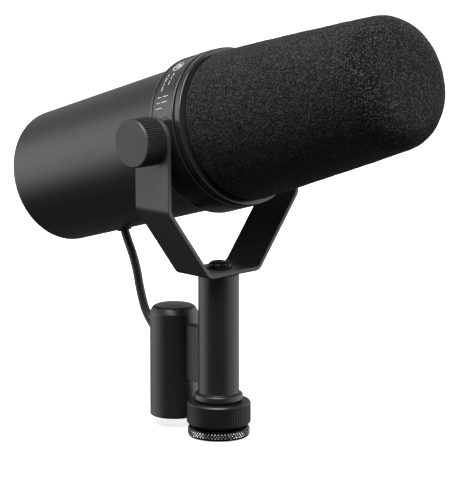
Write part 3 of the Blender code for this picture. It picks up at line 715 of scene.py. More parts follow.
# Plain nickel plate: warm grey and nearly mirror-bright.
NICKEL = Finish("Nickel plate", "#6d6a64", "#9a978f", (0.16, 0.3), 0.8, 0.01, 1.0)
# The same plate over a rolled knurl: painted shade darkens the grooves, and the crests stay bright.
KNURLED_NICKEL_PAINTED_SHADE = Knurled("Knurled nickel plate", "#151412", "#e4e2dc", (0.16, 0.3), 0.8, 0.01, 1.0)
# Enamelled windings: copper brown, in close turns, with painted shade between the turns.
COPPER_WIRE_PAINTED_SHADE = Winding("Enamelled copper wire", "#3a1a0b", "#a2542a", (0.25, 0.45), 0.5, 0.15, 0.9)
# Solder mask over glass fibre: dark green with a gloss.
BOARD = CircuitBoard("Green solder mask", "#123820", "#1c4b2b", (0.3, 0.5), 1.0, 0.03)
# Thin diaphragm film: milky and shiny.
POLYESTER = Film("Polyester film", "#c4c1b2", "#dad7ca", (0.12, 0.25), 1.5, 0.02)


# ------------------------------------------------------------ sub-assembly


@dataclass
class SubAssembly:
    """Pieces that ride on one body and are shaped in one place."""

    body: str = "stem"
    place: Matrix | None = None

    def fit(self, piece: bpy.types.Object, finish: Finish, slot: str, *nodes: str,
        at: Matrix | None = None,
            body: str | None = None, smooth: float = 34, ride: bool = True) -> bpy.types.Object:
        """Put a piece in its place, dress it and let it ride with its body.

        Args:
            piece: The piece, in millimetres.
            finish: Its finish.
            slot: The record's material slot; not used.
            *nodes: The CAD nodes that it stands for.
            at: Where it goes within the sub-assembly, if not where it was shaped.
            body: The body that it rides on, if not the sub-assembly's own.
            smooth: Angle in degrees below which its edges are shaded smooth.
            ride: Whether it rides on a body at once.

        Returns:
            The finished piece, in metres.
        """
        choose(piece)
        bpy.ops.object.shade_smooth_by_angle(angle=math.radians(smooth))
        if smooth < 90:
            apply_modifier(piece, "WEIGHTED_NORMAL", keep_sharp=True)
        piece.matrix_world = (self.place or Matrix.Scale(MM, 4)) @ (at or Matrix())
        bpy.ops.object.transform_apply(location=True, rotation=True, scale=True)
        piece.data.materials.clear()
        piece.data.materials.append(finish.material())
        if ride:
            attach(piece, body or self.body)
        if nodes:
            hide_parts(*nodes)
        clear_selection()
        LOG.info("%s: %d faces on %s", piece.name, len(piece.data.polygons), body or self.body)
        return piece


@dataclass
class RearShell(SubAssembly):
    """Tapered housing with its back panel, switches, screws and cable grommet."""

    body: str = "head"
    rear: float = -98.6
    front: float = -5.9
    radius: float = 29.68       # at the tilt axis
    taper: float = 0.019
    wall: float = 1.8
    panel: tuple[float, float, float] = (25.6, -95.7, -94.0)    # radius, rear, front
    ledge: float = 19.5
    screw_circle: float = 22.4
    switch_height: float = 6.5
    cable_exit: float = -67.0

    def skin(self, along: float) -> float:
        """Return the housing's radius at a place along the axis."""
        return self.radius + self.taper * along

    def build(self) -> None:
        """Shape and dress every piece of the rear shell."""
        self.build_housing()
        self.build_panel()
        self.build_switches()
        self.build_grommet()

    def build_housing(self) -> None:
        """Turn the housing, with its spigot in front and its ledge behind."""
        panel_radius, _, panel_front = self.panel
        mouth, ledge = panel_radius + 0.3, panel_front + 0.3
        shell = turn("rear_housing_shell", [
            (28.9, 1.5, 0.3), (28.9, self.front), (self.skin(self.front), self.front, 0.25),
            (self.skin(self.rear), self.rear, 2.0), (mouth, self.rear, 0.5), (mouth, ledge),
            (self.ledge, ledge), (self.ledge, ledge + 3), (self.skin(self.rear) - self.wall, ledge + 5),
            (self.skin(self.front) - self.wall, self.front), (27.5, 1.5)], 160, 6)
        exit_hole = turn("exit_hole", [(0, 34), (3.6, 34), (3.6, 22), (0, 22)], 48)
        carve(shell, exit_hole, moved(z=self.cable_exit, turn=(90, 0, 0)))
        self.fit(shell, BLACK_PAINT, "satin_black_paint", "rear_housing")

    def build_panel(self) -> None:
        """Turn the back panel, cut its windows and put in its three screws."""
        radius, rear, front = self.panel
        panel = turn("back_panel", [(0, front), (radius, front), (radius, rear, 0.4), (0, rear)], 120)
        for side in (-1, 1):
            window = block("window", (9.6, 3.9, 6), (0, side * self.switch_height, rear + 1), 0)
            carve(panel, window)
        self.fit(panel, ANODISED, "black_anodised_aluminium", "rear_panel")
        for number in range(3):
            angle = math.radians(90 + 120 * number)
            spot = moved(self.screw_circle * math.cos(angle), self.screw_circle * math.sin(angle),
                rear - 0.3,
                         (180, 0, 25 + 70 * number))
            head = screw_head(f"panel_screw_head_{number + 1}", 2.4, 1.2, Drive.CROSS, 1.35)
            self.fit(head, BLUED_STEEL, "blackened_steel", f"panel_screw_{number + 1}", at=spot)
        self.fit(self.draw_marks(rear), WHITE_INK, "printed_label")

    def draw_marks(self, rear: float) -> bpy.types.Object:
        """Print a response curve beside each end of each switch: flat, rolled off or raised.

        Args:
            rear: Where the panel's outer face is along the axis.

        Returns:
            The printed lines.
        """
        curves = {(-1, 1): ((0, 0), (5.6, 0)), (1, 1): ((0, -1.6), (2.0, 0), (5.6, 0)),
                  (-1, -1): ((0, 0), (5.6, 0)),
                  (1, -1): ((0, 0), (2.6, 0), (3.6, 1.2), (4.6, 1.2), (5.6, 0.2))}
        lines = []
        for (across, height), points in curves.items():
            start = 7.4 if across > 0 else -13.0
            middle = height * self.switch_height
            lines.append([(start + x, middle + y, rear + 0.1) for x, y in points])
        return strokes("back_panel_print", lines, 0.2)

    def build_switches(self) -> None:
        """Shape the two ridged sliders, on bodies of their own."""
        for name, side in (("bass", 1), ("presence", -1)):
            slider = self.ridged_slider(f"{name}_slider_tip")
            at = moved(-2.2, side * self.switch_height, self.panel[1] + 1.0)
            self.fit(slider, RED_ABS, "red_plastic", f"{name}_slider", at=at, body=f"{name}_slider")

    @staticmethod
    def ridged_slider(name: str) -> bpy.types.Object:
        """Extrude a grid into a slider tip, and raise every second strip as a ridge."""
        width, height, depth, strips = 4.6, 3.3, 4.4, 7
        clear_selection()
        bpy.ops.mesh.primitive_grid_add(x_subdivisions=strips, y_subdivisions=1, size=1)
        tip = bpy.context.object
        bpy.ops.object.mode_set(mode="EDIT")
        bpy.ops.mesh.select_all(action="SELECT")
        bpy.ops.transform.resize(value=(width, height, 1), center_override=(0, 0, 0))
        bpy.ops.transform.translate(value=(0, 0, depth / 2))
        bpy.ops.mesh.extrude_region_move(TRANSFORM_OT_translate={"value": (0, 0, 0.4 - depth)})
        close_up(tip, name)
        strip = width / strips
        pick_faces(tip, lambda centre, normal: normal.z < -0.9 and
                   round(centre.x / strip + strips // 2) % 2 == 0)
        bpy.ops.mesh.extrude_region_move(TRANSFORM_OT_translate={"value": (0, 0, -0.4)})
        clear_selection()
        return apply_modifier(tip, "BEVEL", width=0.08, segments=2, limit_method="ANGLE")

    def build_grommet(self) -> None:
        """Turn the rubber grommet in the housing's underside."""
        grommet = turn("cable_grommet_ring", [
            (3.0, 0.6, 0.4), (3.3, -2.6), (2.15, -2.6), (2.15, 0.6, 0.2)], 64)
        at = moved(0, -self.skin(self.cable_exit), self.cable_exit, (90, 0, 0))
        self.fit(grommet, RUBBER, "black_rubber", "cable_grommet", at=at)


@dataclass
class Collar(SubAssembly):
    """Middle ring with its label, its pivot bosses and the front flange."""

    body: str = "head"
    radius: float = 32.0
    rear: float = -5.6
    front: float = 8.7
    label: tuple[float, float] = (-3.4, 6.3)        # rear, front
    label_arc: tuple[int, int] = (107, 166)         # degrees from +x, over the top
    boss_radius: float = 5.4
    boss_face: float = 33.7
    sides: int = 360

    def build(self) -> None:
        """Shape and dress every piece of the collar."""
        low, high = self.label[0] - 0.3, self.label[1] + 0.3
        collar = turn("middle_collar", [
            (self.radius, self.front, 0.35), (self.radius, high), (self.radius, low),
            (self.radius, self.rear, 0.8),
            (29.2, self.rear), (29.2, 1.8), (27.3, 1.8), (27.3, 4.0), (30.5, 4.0), (30.5, self.front)],
            self.sides)
        self.sink_label(collar, low, high)
        self.fit(collar, BLACK_ENAMEL, "satin_black_paint", "mid_collar")
        for side in Side:
            boss = turn(f"{side.name.lower()}_pivot_boss", [
                (0, 30.6), (self.boss_radius, 30.6), (self.boss_radius, self.boss_face, 0.5),
                (0, self.boss_face)], 64)
            self.fit(boss, BLACK_PAINT, "satin_black_paint", at=moved(turn=(0, 90 * side.value, 0)))
        self.build_label()
        flange = turn("front_flange_ring", [
            (30.2, 12.6), (31.75, 12.6, 0.4), (31.8, 9.7, 0.3), (30.2, 9.7),
            (30.2, 4.3), (28.0, 4.3), (28.0, 12.6)], 160)
        self.fit(flange, BLACK_ENAMEL, "satin_black_paint", "front_flange")

    def sink_label(self, collar: bpy.types.Object, low: float, high: float) -> None:
        """Sink the label's recess into the collar's wall.

        Args:
            collar: The turned collar.
            low: The recess's rear edge along the axis.
            high: Its front edge.
        """
        start, end = self.label_arc

        def inside(centre: Vector, normal: Vector) -> bool:
            """Whether a face is on the outer wall, within the label's place."""
            angle = math.degrees(math.atan2(centre.y, centre.x)) % 360
            outer = math.hypot(centre.x, centre.y) > self.radius - 0.3
            return outer and abs(normal.z) < 0.2 and low < centre.z < high and start < angle < end

        sink_wall(collar, inside, (self.radius - 0.8) / self.radius)

    def build_label(self) -> None:
        """Spin the label plate round the collar and print its generic marks."""
        clear_selection()
        start, end = (math.radians(angle) for angle in self.label_arc)
        gap = 0.3 / self.radius
        middle, width = sum(self.label) / 2, self.label[1] - self.label[0]
        bpy.ops.mesh.primitive_cube_add(size=1)
        plate = bpy.context.object
        bpy.ops.object.mode_set(mode="EDIT")
        bpy.ops.mesh.select_all(action="SELECT")
        bpy.ops.transform.resize(value=(0.35, 0.02, width), center_override=(0, 0, 0))
        bpy.ops.transform.translate(value=(self.radius - 0.4, 0, middle))
        close_up(plate, "label_plate_foil")
        pick_faces(plate, lambda centre, normal: normal.y > 0.9)
        bpy.ops.mesh.spin(steps=48, angle=-(end - start - 2 * gap), center=(0, 0, 0), axis=(0, 0, 1))
        close_up(plate, "label_plate_foil")
        turned = self.label_arc[0] + math.degrees(gap)
        self.fit(plate, LABEL_FOIL, "printed_label", "label_plate", at=moved(turn=(0, 0, turned)))
        self.fit(self.draw_marks(), WHITE_INK, "printed_label")

    def draw_marks(self) -> bpy.types.Object:
        """Print a ring symbol, a rising curve and rows of plain dashes."""
        face = self.radius - 0.225 - 0.13

        def at(degrees: float, along: float) -> tuple[float, float, float]:
            """Return a point just under the plate's face."""
            angle = math.radians(degrees)
            return (face * math.cos(angle), face * math.sin(angle), along)

        def row(first: float, last: float, along: float) -> list[tuple[float, float, float]]:
            """Return a line round the collar."""
            count = max(2, round(abs(last - first) / 1.5))
            return [at(first + (last - first) * i / count, along) for i in range(count + 1)]

        emblem_angle, emblem_along, steps = 120.0, 1.6, 24
        turns = [math.tau * i / steps for i in range(steps + 1)]
        ring = [at(emblem_angle + 4.6 * math.cos(a), emblem_along + 2.3 * math.sin(a)) for a in turns]
        heart = [at(emblem_angle + 1.5 * (1 + math.cos(a)) * math.cos(a) - 1.6,
                    emblem_along + (1 + math.cos(a)) * math.sin(a)) for a in turns]
        lines = [ring, heart]
        for first, last in ((128, 130.4), (131.6, 135.4), (136.6, 138.4), (139.6, 143.6)):
            lines.append(row(first, last, -0.4))
        for first, last in ((128, 131.2), (132.4, 134.2), (135.4, 139.4)):
            lines.append(row(first, last, 2.6))
        for angle in (149.0, 153.4):
            lines += [[at(angle, -1.6), at(angle, 0.4)], [at(angle, 1.4), at(angle, 4.4)]]
        lines.append([at(157.8, -1.6), at(157.8, 2.2)])
        return strokes("label_print", lines, 0.2)


@dataclass
class GrilleCage(SubAssembly):
    """Steel cage with its cap, which carries the windscreen."""

    body: str = "head"
    radius: float = 25.0
    front: float = 93.0
    rows: int = 3
    row_pitch: float = 25.5
    window: tuple[float, float] = (22.0, 46.0)      # length, and width in degrees

    def build(self) -> None:
        """Shape the cage and its cap."""
        wall = self.radius - 0.5
        edges = []
        for row in range(self.rows):
            middle = self.row_pitch * (row + 1)
            edges += [(wall, middle - self.window[0] / 2), (wall, middle + self.window[0] / 2)]
        cage = self.open_tube("grille_cage_frame", [(27.2, 8.7), (27.2, 10.8), (wall, 10.8), *edges,
                                                     (wall, self.front - 0.2)])
        self.fit(cage, BLUED_STEEL, "blackened_steel", "grille_cage")
        cap = turn("grille_cap_plate", [(23.7, 92.6, 0.3), (23.7, 90.8), (6.5, 90.8), (6.5, 92.6, 0.3)],
            96)
        for number in range(6):
            angle = math.tau * (number + 0.35) / 6
            hole = turn("hole", [(0, 96), (4.4, 96), (4.4, 88), (0, 88)], 32)
            carve(cap, hole, moved(15.5 * math.cos(angle), 15.5 * math.sin(angle)))
        self.fit(cap, BLUED_STEEL, "blackened_steel", "grille_cap")

    def open_tube(self, name: str, rings: Outline) -> bpy.types.Object:
        """Extrude an open tube ring by ring, take out its windows and thicken what is left.

        Args:
            name: Name of the new piece.
            rings: (radius, height) of each ring, from the rear.

        Returns:
            The new piece, in millimetres.
        """
        clear_selection()
        bpy.ops.mesh.primitive_circle_add(vertices=120, radius=rings[0][0], location=(0, 0, rings[0][1]))
        tube = bpy.context.object
        bpy.ops.object.transform_apply(location=True)
        bpy.ops.object.mode_set(mode="EDIT")
        bpy.ops.mesh.select_all(action="SELECT")
        for (radius, height), (wider, higher) in zip(rings, rings[1:]):
            bpy.ops.mesh.extrude_region_move(TRANSFORM_OT_translate={"value": (0, 0, higher - height)})
            bpy.ops.transform.resize(value=(wider / radius, wider / radius, 1),
                center_override=(0, 0, higher))
        close_up(tube, name)

        def in_window(centre: Vector, normal: Vector) -> bool:
            """Whether a face is in one of the windows."""
            angle = (math.degrees(math.atan2(centre.y, centre.x)) + 30) % 60 - 30
            along = (centre.z + self.row_pitch / 2) % self.row_pitch - self.row_pitch / 2
            return abs(normal.z) < 0.5 and centre.z > 12 and abs(along) < self.window[0] / 2 and \
                abs(angle) < self.window[1] / 2

        pick_faces(tube, in_window)
        bpy.ops.mesh.delete(type="FACE")
        clear_selection()
        apply_modifier(tube, "SOLIDIFY", thickness=1.0, offset=0)
        return apply_modifier(tube, "BEVEL", width=0.18, segments=2, limit_method="ANGLE",
                              angle_limit=math.radians(50))


@dataclass
class Capsule(SubAssembly):
    """Moving-coil capsule in its rubber mounts, and the filter board behind it."""

    body: str = "head"

    def build(self) -> None:
        """Turn the pieces that show through the cage, in place of their CAD nodes."""
        turned = {
            "capsule_cradle": (ANODISED, "black_anodised_aluminium", [
                (21.5, 58.0, 0.3), (21.5, 10.8), (23.7, 10.8, 0.2), (23.7, 8.5), (20.5, 8.5),
                (20.5, 58.0, 0.2)]),
            "capsule_shell": (TURNED_ALUMINIUM, "turned_aluminium", [
                (16.1, 56.0, 0.4), (16.1, 18.0, 0.4), (4.0, 18.0), (4.0, 19.6), (14.6, 19.6),
                (14.6, 56.0, 0.3)]),
            "rear_shock_mount": (RUBBER, "black_rubber", self.cushion(21.0)),
            "front_shock_mount": (RUBBER, "black_rubber", self.cushion(49.0)),
            "humbucking_coil": (COPPER_WIRE_PAINTED_SHADE, "enamelled_copper", [
                (20.0, 41.0, 0.5), (20.0, 31.0, 0.5), (16.4, 31.0), (16.4, 41.0)]),
        }
        for node, (finish, slot, outline) in turned.items():
            self.fit(turn(f"{node}_ring", outline, 96), finish, slot, node)
        cover = turn("capsule_cover_plate", [(0, 53.6), (14.3, 53.6, 0.3), (14.3, 52.0), (0, 52.0)], 96)
        for number in range(6):
            angle = math.tau * number / 6
            hole = turn("hole", [(0, 56), (2.6, 56), (2.6, 50), (0, 50)], 24)
            carve(cover, hole, moved(9.0 * math.cos(angle), 9.0 * math.sin(angle)))
        self.fit(cover, ANODISED, "black_anodised_aluminium", "capsule_cover")

    @staticmethod
    def cushion(start: float) -> Outline:
        """Return the outline of a shock mount with a waist in its outer wall."""
        return [(20.2, start + 5, 0.5), (19.4, start + 2.5, 1.0), (20.2, start, 0.5), (16.4, start),
            (16.4, start + 5)]


@dataclass
class Windscreen(SubAssembly):
    """Foam sleeve with a closed, rounded front."""

    body: str = "windscreen"
    rear: float = 12.9
    front: float = 105.0
    radius: float = 31.0        # at the tilt axis, shrinking forward
    taper: float = 0.055
    barrel: float = 0.3
    rounding: float = 11.0
    bore: float = 25.3
    bore_front: float = 95.5
    spacing: float = 2.5        # between rings, before subdividing
    sides: int = 80
    levels: int = 2

    def skin(self, along: float) -> float:
        """Return the foam's radius at a place along the axis."""
        swell = math.sin(math.pi * (along - self.rear) / (self.front - self.rear))
        return self.radius - self.taper * along + self.barrel * swell

    def outline(self) -> list[tuple[float, float]]:
        """Return the sleeve's rings, from inside its nose over its rear edge to its front."""
        inside = [(0, self.bore_front), (12, self.bore_front), (self.bore - 2, self.bore_front),
                  (self.bore - 0.3, self.bore_front - 0.5), (self.bore, self.bore_front - 2.5)]
        inside += [(self.bore, along) for along in (75, 55, 35, 18)]
        edge = self.skin(self.rear)
        lip = [(self.bore, self.rear + 0.6), (self.bore + 0.4, self.rear), (edge - 2.9, self.rear),
               (edge - 1.8, self.rear + 0.2), (edge - 0.8, self.rear + 0.9),
               (edge - 0.2, self.rear + 1.9)]
        shoulder = self.front - self.rounding
        start = self.rear + 3.2
        count = round((shoulder - start) / self.spacing)
        stations = [start + (shoulder - start) * i / count for i in range(count + 1)]
        side = [(self.skin(s), s) for s in stations]
        centre = self.skin(shoulder) - self.rounding
        nose = [(centre + self.rounding * math.cos(a), shoulder + self.rounding * math.sin(a))
                for a in (math.pi / 2 * i / 8 for i in range(1, 9))]
        face = [(r, self.front + 0.4 * (1 - (r / centre) ** 2)) for r in (centre - 2.5, 12, 9, 6, 3, 0)]
        return inside + lip + side + nose + face

    def build(self) -> None:
        """Extrude the sleeve, subdivide it and roughen its outer skin with its cells."""
        sleeve = turn("foam_windscreen", self.outline(), self.sides)
        levels = self.levels
        apply_modifier(sleeve, "SUBSURF", levels=levels, render_levels=levels)
        self.roughen(sleeve, "cell_relief", 1.1, 0.06)
        self.roughen(sleeve, "soft_lumps", 7.0, 0.35)
        self.fit(sleeve, FOAM, "open_cell_foam", "windscreen", smooth=180)

    def roughen(self, sleeve: bpy.types.Object, name: str, size: float, depth: float) -> None:
        """Move the outer skin in and out by a cloud pattern.

        Args:
            sleeve: The subdivided sleeve.
            name: Name of the pattern.
            size: Size of its clouds in millimetres.
            depth: How far the skin moves from hollow to crest.
        """
        group = sleeve.vertex_groups.get("skin") or sleeve.vertex_groups.new(name="skin")
        outer = [v.index for v in sleeve.data.vertices if math.hypot(v.co.x, v.co.y) > self.bore + 0.6 or
                 v.co.z > self.bore_front + 1]
        group.add(outer, 1.0, "REPLACE")
        clouds = bpy.data.textures.new(name, "CLOUDS")
        clouds.noise_scale = size
        clouds.noise_depth = 2
        apply_modifier(sleeve, "DISPLACE", texture=clouds, texture_coords="LOCAL", strength=depth,
                       mid_level=0.5, vertex_group="skin")


@dataclass
class Pivot(SubAssembly):
    """Stud, washers and clamping knob at one end of the tilt axis."""

    body: str = "head"
    side: Side = Side.LEFT
    stud_radius: float = 3.0
    knob_radius: float = 9.58
    knob: tuple[float, float] = (37.23, 47.14)      # inner face, outer face
    ribs: int = 60

    def build(self) -> None:
        """Shape and dress every piece on this side."""
        name = self.side.name.lower()
        at = moved(turn=(0, 90 * self.side.value, 0))
        bore = self.stud_radius + 0.3
        stud = turn(f"{name}_stud", [(0, 44.6), (self.stud_radius, 44.6, 0.4), (self.stud_radius, 29.7),
            (0, 29.7)], 48)
        self.fit(stud, ZINC_STEEL, "zinc_plated_steel", f"{name}_pivot_stud", at=at)
        inner = turn(f"{name}_friction_washer",
            [(8.0, 34.35, 0.1), (8.0, 33.97, 0.1), (bore, 33.97), (bore, 34.35)])
        self.fit(inner, BLACK_ACETAL, "black_plastic", f"{name}_inner_washer", at=at)
        outer = turn(f"{name}_steel_washer", [(7.5, 36.98, 0.08), (7.5, 36.71, 0.08), (bore, 36.71),
            (bore, 36.98)])
        self.fit(outer, ZINC_STEEL, "zinc_plated_steel", f"{name}_outer_washer", at=at, body="stem")
        self.fit(self.shape_knob(f"{name}_clamping_knob", bore), KNOB_NYLON, "black_moulded_knob",
            f"{name}_knob",
                 at=at, body=f"{name}_knob")

    def shape_knob(self, name: str, bore: float) -> bpy.types.Object:
        """Turn the knob and rib its rim.

        Args:
            name: Name of the new piece.
            bore: Radius of its bore.

        Returns:
            The knob, in millimetres.
        """
        inner, face = self.knob
        radius = self.knob_radius
        low, high = inner + 0.7, face - 0.55
        knob = turn(name, [
            (0, face), (radius - 0.5, face, 0.15), (radius, high), (radius, low),
            (radius - 0.4, inner, 0.2),
            (bore, inner), (bore, 44.9), (0, 44.9)], 2 * self.ribs)
        rib_wall(knob, self.ribs, (low, high), radius, 0.55)
        return knob


@dataclass
class Yoke(SubAssembly):
    """Bent steel strip that carries the head, and the screw that holds it on the stem."""

    pivot_height: float = 124.1
    thickness: float = 1.85
    width: float = 18.8
    floor: float = 67.25        # lower face
    elbow: tuple[float, float] = (14.1, 67.25)      # outer corner of the first bend
    shoulder: tuple[float, float] = (36.46, 96.27)  # and of the second
    bend: float = 4.5           # outer radius of the first bend

    def build(self) -> None:
        """Shape and dress the strip, its washer and its screw."""
        strip = self.bend_arm()
        apply_modifier(strip, "MIRROR", use_axis=(True, False, False), merge_threshold=WELD)
        carve(strip, turn("bore", [(0, 40), (3.3, 40), (3.3, -40), (0, -40)], 48),
              moved(z=self.pivot_height, turn=(0, 90, 0)))
        carve(strip, turn("bore", [(0, 80), (2.9, 80), (2.9, 60), (0, 60)], 48))
        apply_modifier(strip, "BEVEL", width=0.3, segments=3, limit_method="ANGLE",
            angle_limit=math.radians(50))
        self.fit(strip, YOKE_PAINT_WITH_PAINTED_LIGHT, "satin_black_paint", "yoke")
        top = self.floor + self.thickness
        washer = turn("yoke_spring_washer", [
            (5.3, top + 0.85, 0.15), (5.3, top + 0.25, 0.15), (2.9, top + 0.25), (2.9, top + 0.85, 0.1)],
            64)
        self.fit(washer, BLUED_STEEL, "blackened_steel", "yoke_washer")
        head = screw_head("yoke_screw_head", 4.25, 1.7, Drive.HEXAGON, 1.9)
        self.fit(head, BLUED_STEEL, "blackened_steel", "yoke_screw", at=moved(z=top + 1.1))
        shank = turn("yoke_screw_shank", [(0, top + 1.6), (2.5, top + 1.6), (2.5, 45.0, 0.4), (0, 45.0)],
            32)
        self.fit(shank, BLUED_STEEL, "blackened_steel")

    def bend_arm(self) -> bpy.types.Object:
        """Extrude and spin the strip's right half from its middle to its rounded top."""
        run, rise = self.shoulder[0] - self.elbow[0], self.shoulder[1] - self.elbow[1]
        first = math.atan2(rise, run)
        second = math.pi / 2 - first
        tangent_1, tangent_2 = (self.bend * math.tan(angle / 2) for angle in (first, second))
        start = self.elbow[0] - tangent_1
        straight = math.hypot(run, rise) - tangent_1 - tangent_2
        clear_selection()
        bpy.ops.mesh.primitive_cube_add(size=1)
        arm = bpy.context.object
        bpy.ops.object.mode_set(mode="EDIT")
        bpy.ops.mesh.select_all(action="SELECT")
        bpy.ops.transform.resize(value=(start, self.width, self.thickness), center_override=(0, 0, 0))
        bpy.ops.transform.translate(value=(start / 2, 0, self.floor + self.thickness / 2))
        pick_faces(arm, lambda centre, normal: normal.x < -0.9)
        bpy.ops.mesh.delete(type="ONLY_FACE")
        pick_faces(arm, lambda centre, normal: normal.x > 0.9)
        bpy.ops.mesh.spin(steps=8, angle=first, center=(start, 0, self.floor + self.bend),
            axis=(0, 1, 0))
        along = Vector((math.cos(first), 0, math.sin(first)))
        bpy.ops.mesh.extrude_region_move(TRANSFORM_OT_translate={"value": along * straight})
        inward = Vector((-math.sin(first), 0, math.cos(first)))
        corner = Vector((self.shoulder[0], 0, self.shoulder[1])) - along * tangent_2
        bpy.ops.mesh.spin(steps=8, angle=second, center=corner + inward * self.bend, axis=(0, 1, 0))
        climb = self.pivot_height + self.width / 2 - self.shoulder[1] - tangent_2
        bpy.ops.mesh.extrude_region_move(TRANSFORM_OT_translate={"value": (0, 0, climb)})
        close_up(arm, "yoke_strip")
        self.round_top(arm)
        return arm

    def round_top(self, arm: bpy.types.Object) -> None:
        """Round the arm's end to half its width.

        Args:
            arm: The bent strip, which ends in a square corner.
        """
        top = self.pivot_height + self.width / 2
        choose(arm)
        bpy.ops.object.mode_set(mode="EDIT")
        bpy.ops.mesh.select_mode(type="EDGE")
        bpy.ops.mesh.select_all(action="DESELECT")
        bpy.ops.object.mode_set(mode="OBJECT")
        for edge in arm.data.edges:
            a, b = (arm.data.vertices[i].co for i in edge.vertices)
            edge.select = min(a.z, b.z) > top - 0.1 and abs(a.y - b.y) < 0.1
        bpy.ops.object.mode_set(mode="EDIT")
        bpy.ops.mesh.bevel(offset=self.width / 2 - 0.02, segments=20, affect="EDGES")
        close_up(arm, arm.name)


@dataclass
class Stem(SubAssembly):
    """Stem, its swivel stud, the ribbed nut and the knurled thread adapter."""

    radius: float = 8.3
    foot: float = 10.0
    top: float = 66.95
    bottom: float = 14.5
    nut: tuple[float, float, float] = (13.0, 4.16, 14.18)       # radius, bottom, top
    nut_ribs: int = 96
    adapter_radius: float = 12.8
    adapter_top: float = 3.86
    diamonds: int = 60
    knurl: float = 0.5          # depth

    def build(self) -> None:
        """Shape and dress every piece from the yoke down to the thread."""
        tube = turn("stem_column", [
            (self.radius, self.top, 0.5), (self.radius, 17.9, 0.2), (self.foot - 0.3, 17.5, 1.1),
            (self.foot, self.bottom, 0.9),
            (4.4, self.bottom), (4.4, 28.0), (2.9, 28.0), (2.9, self.top)], 128)
        self.fit(tube, BLACK_PAINT, "satin_black_paint", "stem_tube")
        ceiling = self.nut[2] - 2.4
        stud = turn("swivel_neck", [
            (0, 27.5), (4.1, 27.5, 0.3), (4.1, 14.2), (6.0, 14.2), (6.0, ceiling - 0.3),
            (7.4, ceiling - 0.3, 0.2),
            (7.4, 9.6, 0.3), (0, 9.6)], 64)
        self.fit(stud, ZINC_STEEL, "zinc_plated_steel", "swivel_stud")
        self.build_nut(ceiling)
        self.build_adapter()

    def build_nut(self, ceiling: float) -> None:
        """Turn the nut and rib its wall.

        Args:
            ceiling: Height of the shoulder inside the nut.
        """
        radius, bottom, top = self.nut
        low, high = bottom + 1.55, top - 0.7
        nut = turn("ribbed_stand_nut", [
            (12.5, top, 0.3), (radius, high), (radius, low), (radius - 1.5, bottom, 0.3), (7.9, bottom),
            (7.9, ceiling), (6.3, ceiling), (6.3, top, 0.2)], 2 * self.nut_ribs)
        rib_wall(nut, self.nut_ribs, (low, high), radius, 0.4)
        self.fit(nut, NUT_ACETAL, "black_moulded_knob", "stand_nut", body="stand_nut")

    def build_adapter(self) -> None:
        """Turn the adapter and roll a diamond knurl into its wall."""
        radius, top = self.adapter_radius, self.adapter_top
        low, rows = 0.4, 4
        pitch = (top - 2 * low) / rows
        wall = [(radius - self.knurl, top - low - pitch * row) for row in range(rows + 1)]
        adapter = turn("knurled_thread_adapter", [
            (7.6, 9.3, 0.5), (7.6, top), (radius - 0.6, top, 0.25), *wall, (radius - 0.6, 0, 0.25),
            (4.9, 0, 0.3),
            (4.9, 9.3)], 2 * self.diamonds)
        self.roll_diamonds(adapter, low, pitch, rows)
        self.fit(adapter, KNURLED_NICKEL_PAINTED_SHADE, "nickel_plate", "thread_adapter", body="thread_adapter",
            smooth=12)

    def roll_diamonds(self, adapter: bpy.types.Object, low: float, pitch: float, rows: int) -> None:
        """Raise every second corner of the wall, and split its faces into pyramids.

        Args:
            adapter: The turned adapter.
            low: Height of the wall's lowest ring.
            pitch: Distance between its rings.
            rows: How many rows of faces it has.
        """
        step = math.pi / self.diamonds
        base = self.adapter_radius - self.knurl
        choose(adapter)
        for vertex in adapter.data.vertices:
            across = math.hypot(vertex.co.x, vertex.co.y)
            row = round((vertex.co.z - low) / pitch)
            on_ring = (abs(vertex.co.z - low - row * pitch) < 0.01 and 0 < row < rows
                       and abs(across - base) < 0.05)
            number = round(math.atan2(vertex.co.y, vertex.co.x) / step)
            if on_ring and (number + row) % 2 == 0:
                vertex.co.x *= (self.adapter_radius + 0.05) / across
                vertex.co.y *= (self.adapter_radius + 0.05) / across
        pick_faces(adapter, lambda centre, normal: math.hypot(centre.x, centre.y) > base - 0.2 and
                   low < centre.z < low + rows * pitch)
        bpy.ops.mesh.quads_convert_to_tris(quad_method="SHORTEST_DIAGONAL")
        clear_selection()


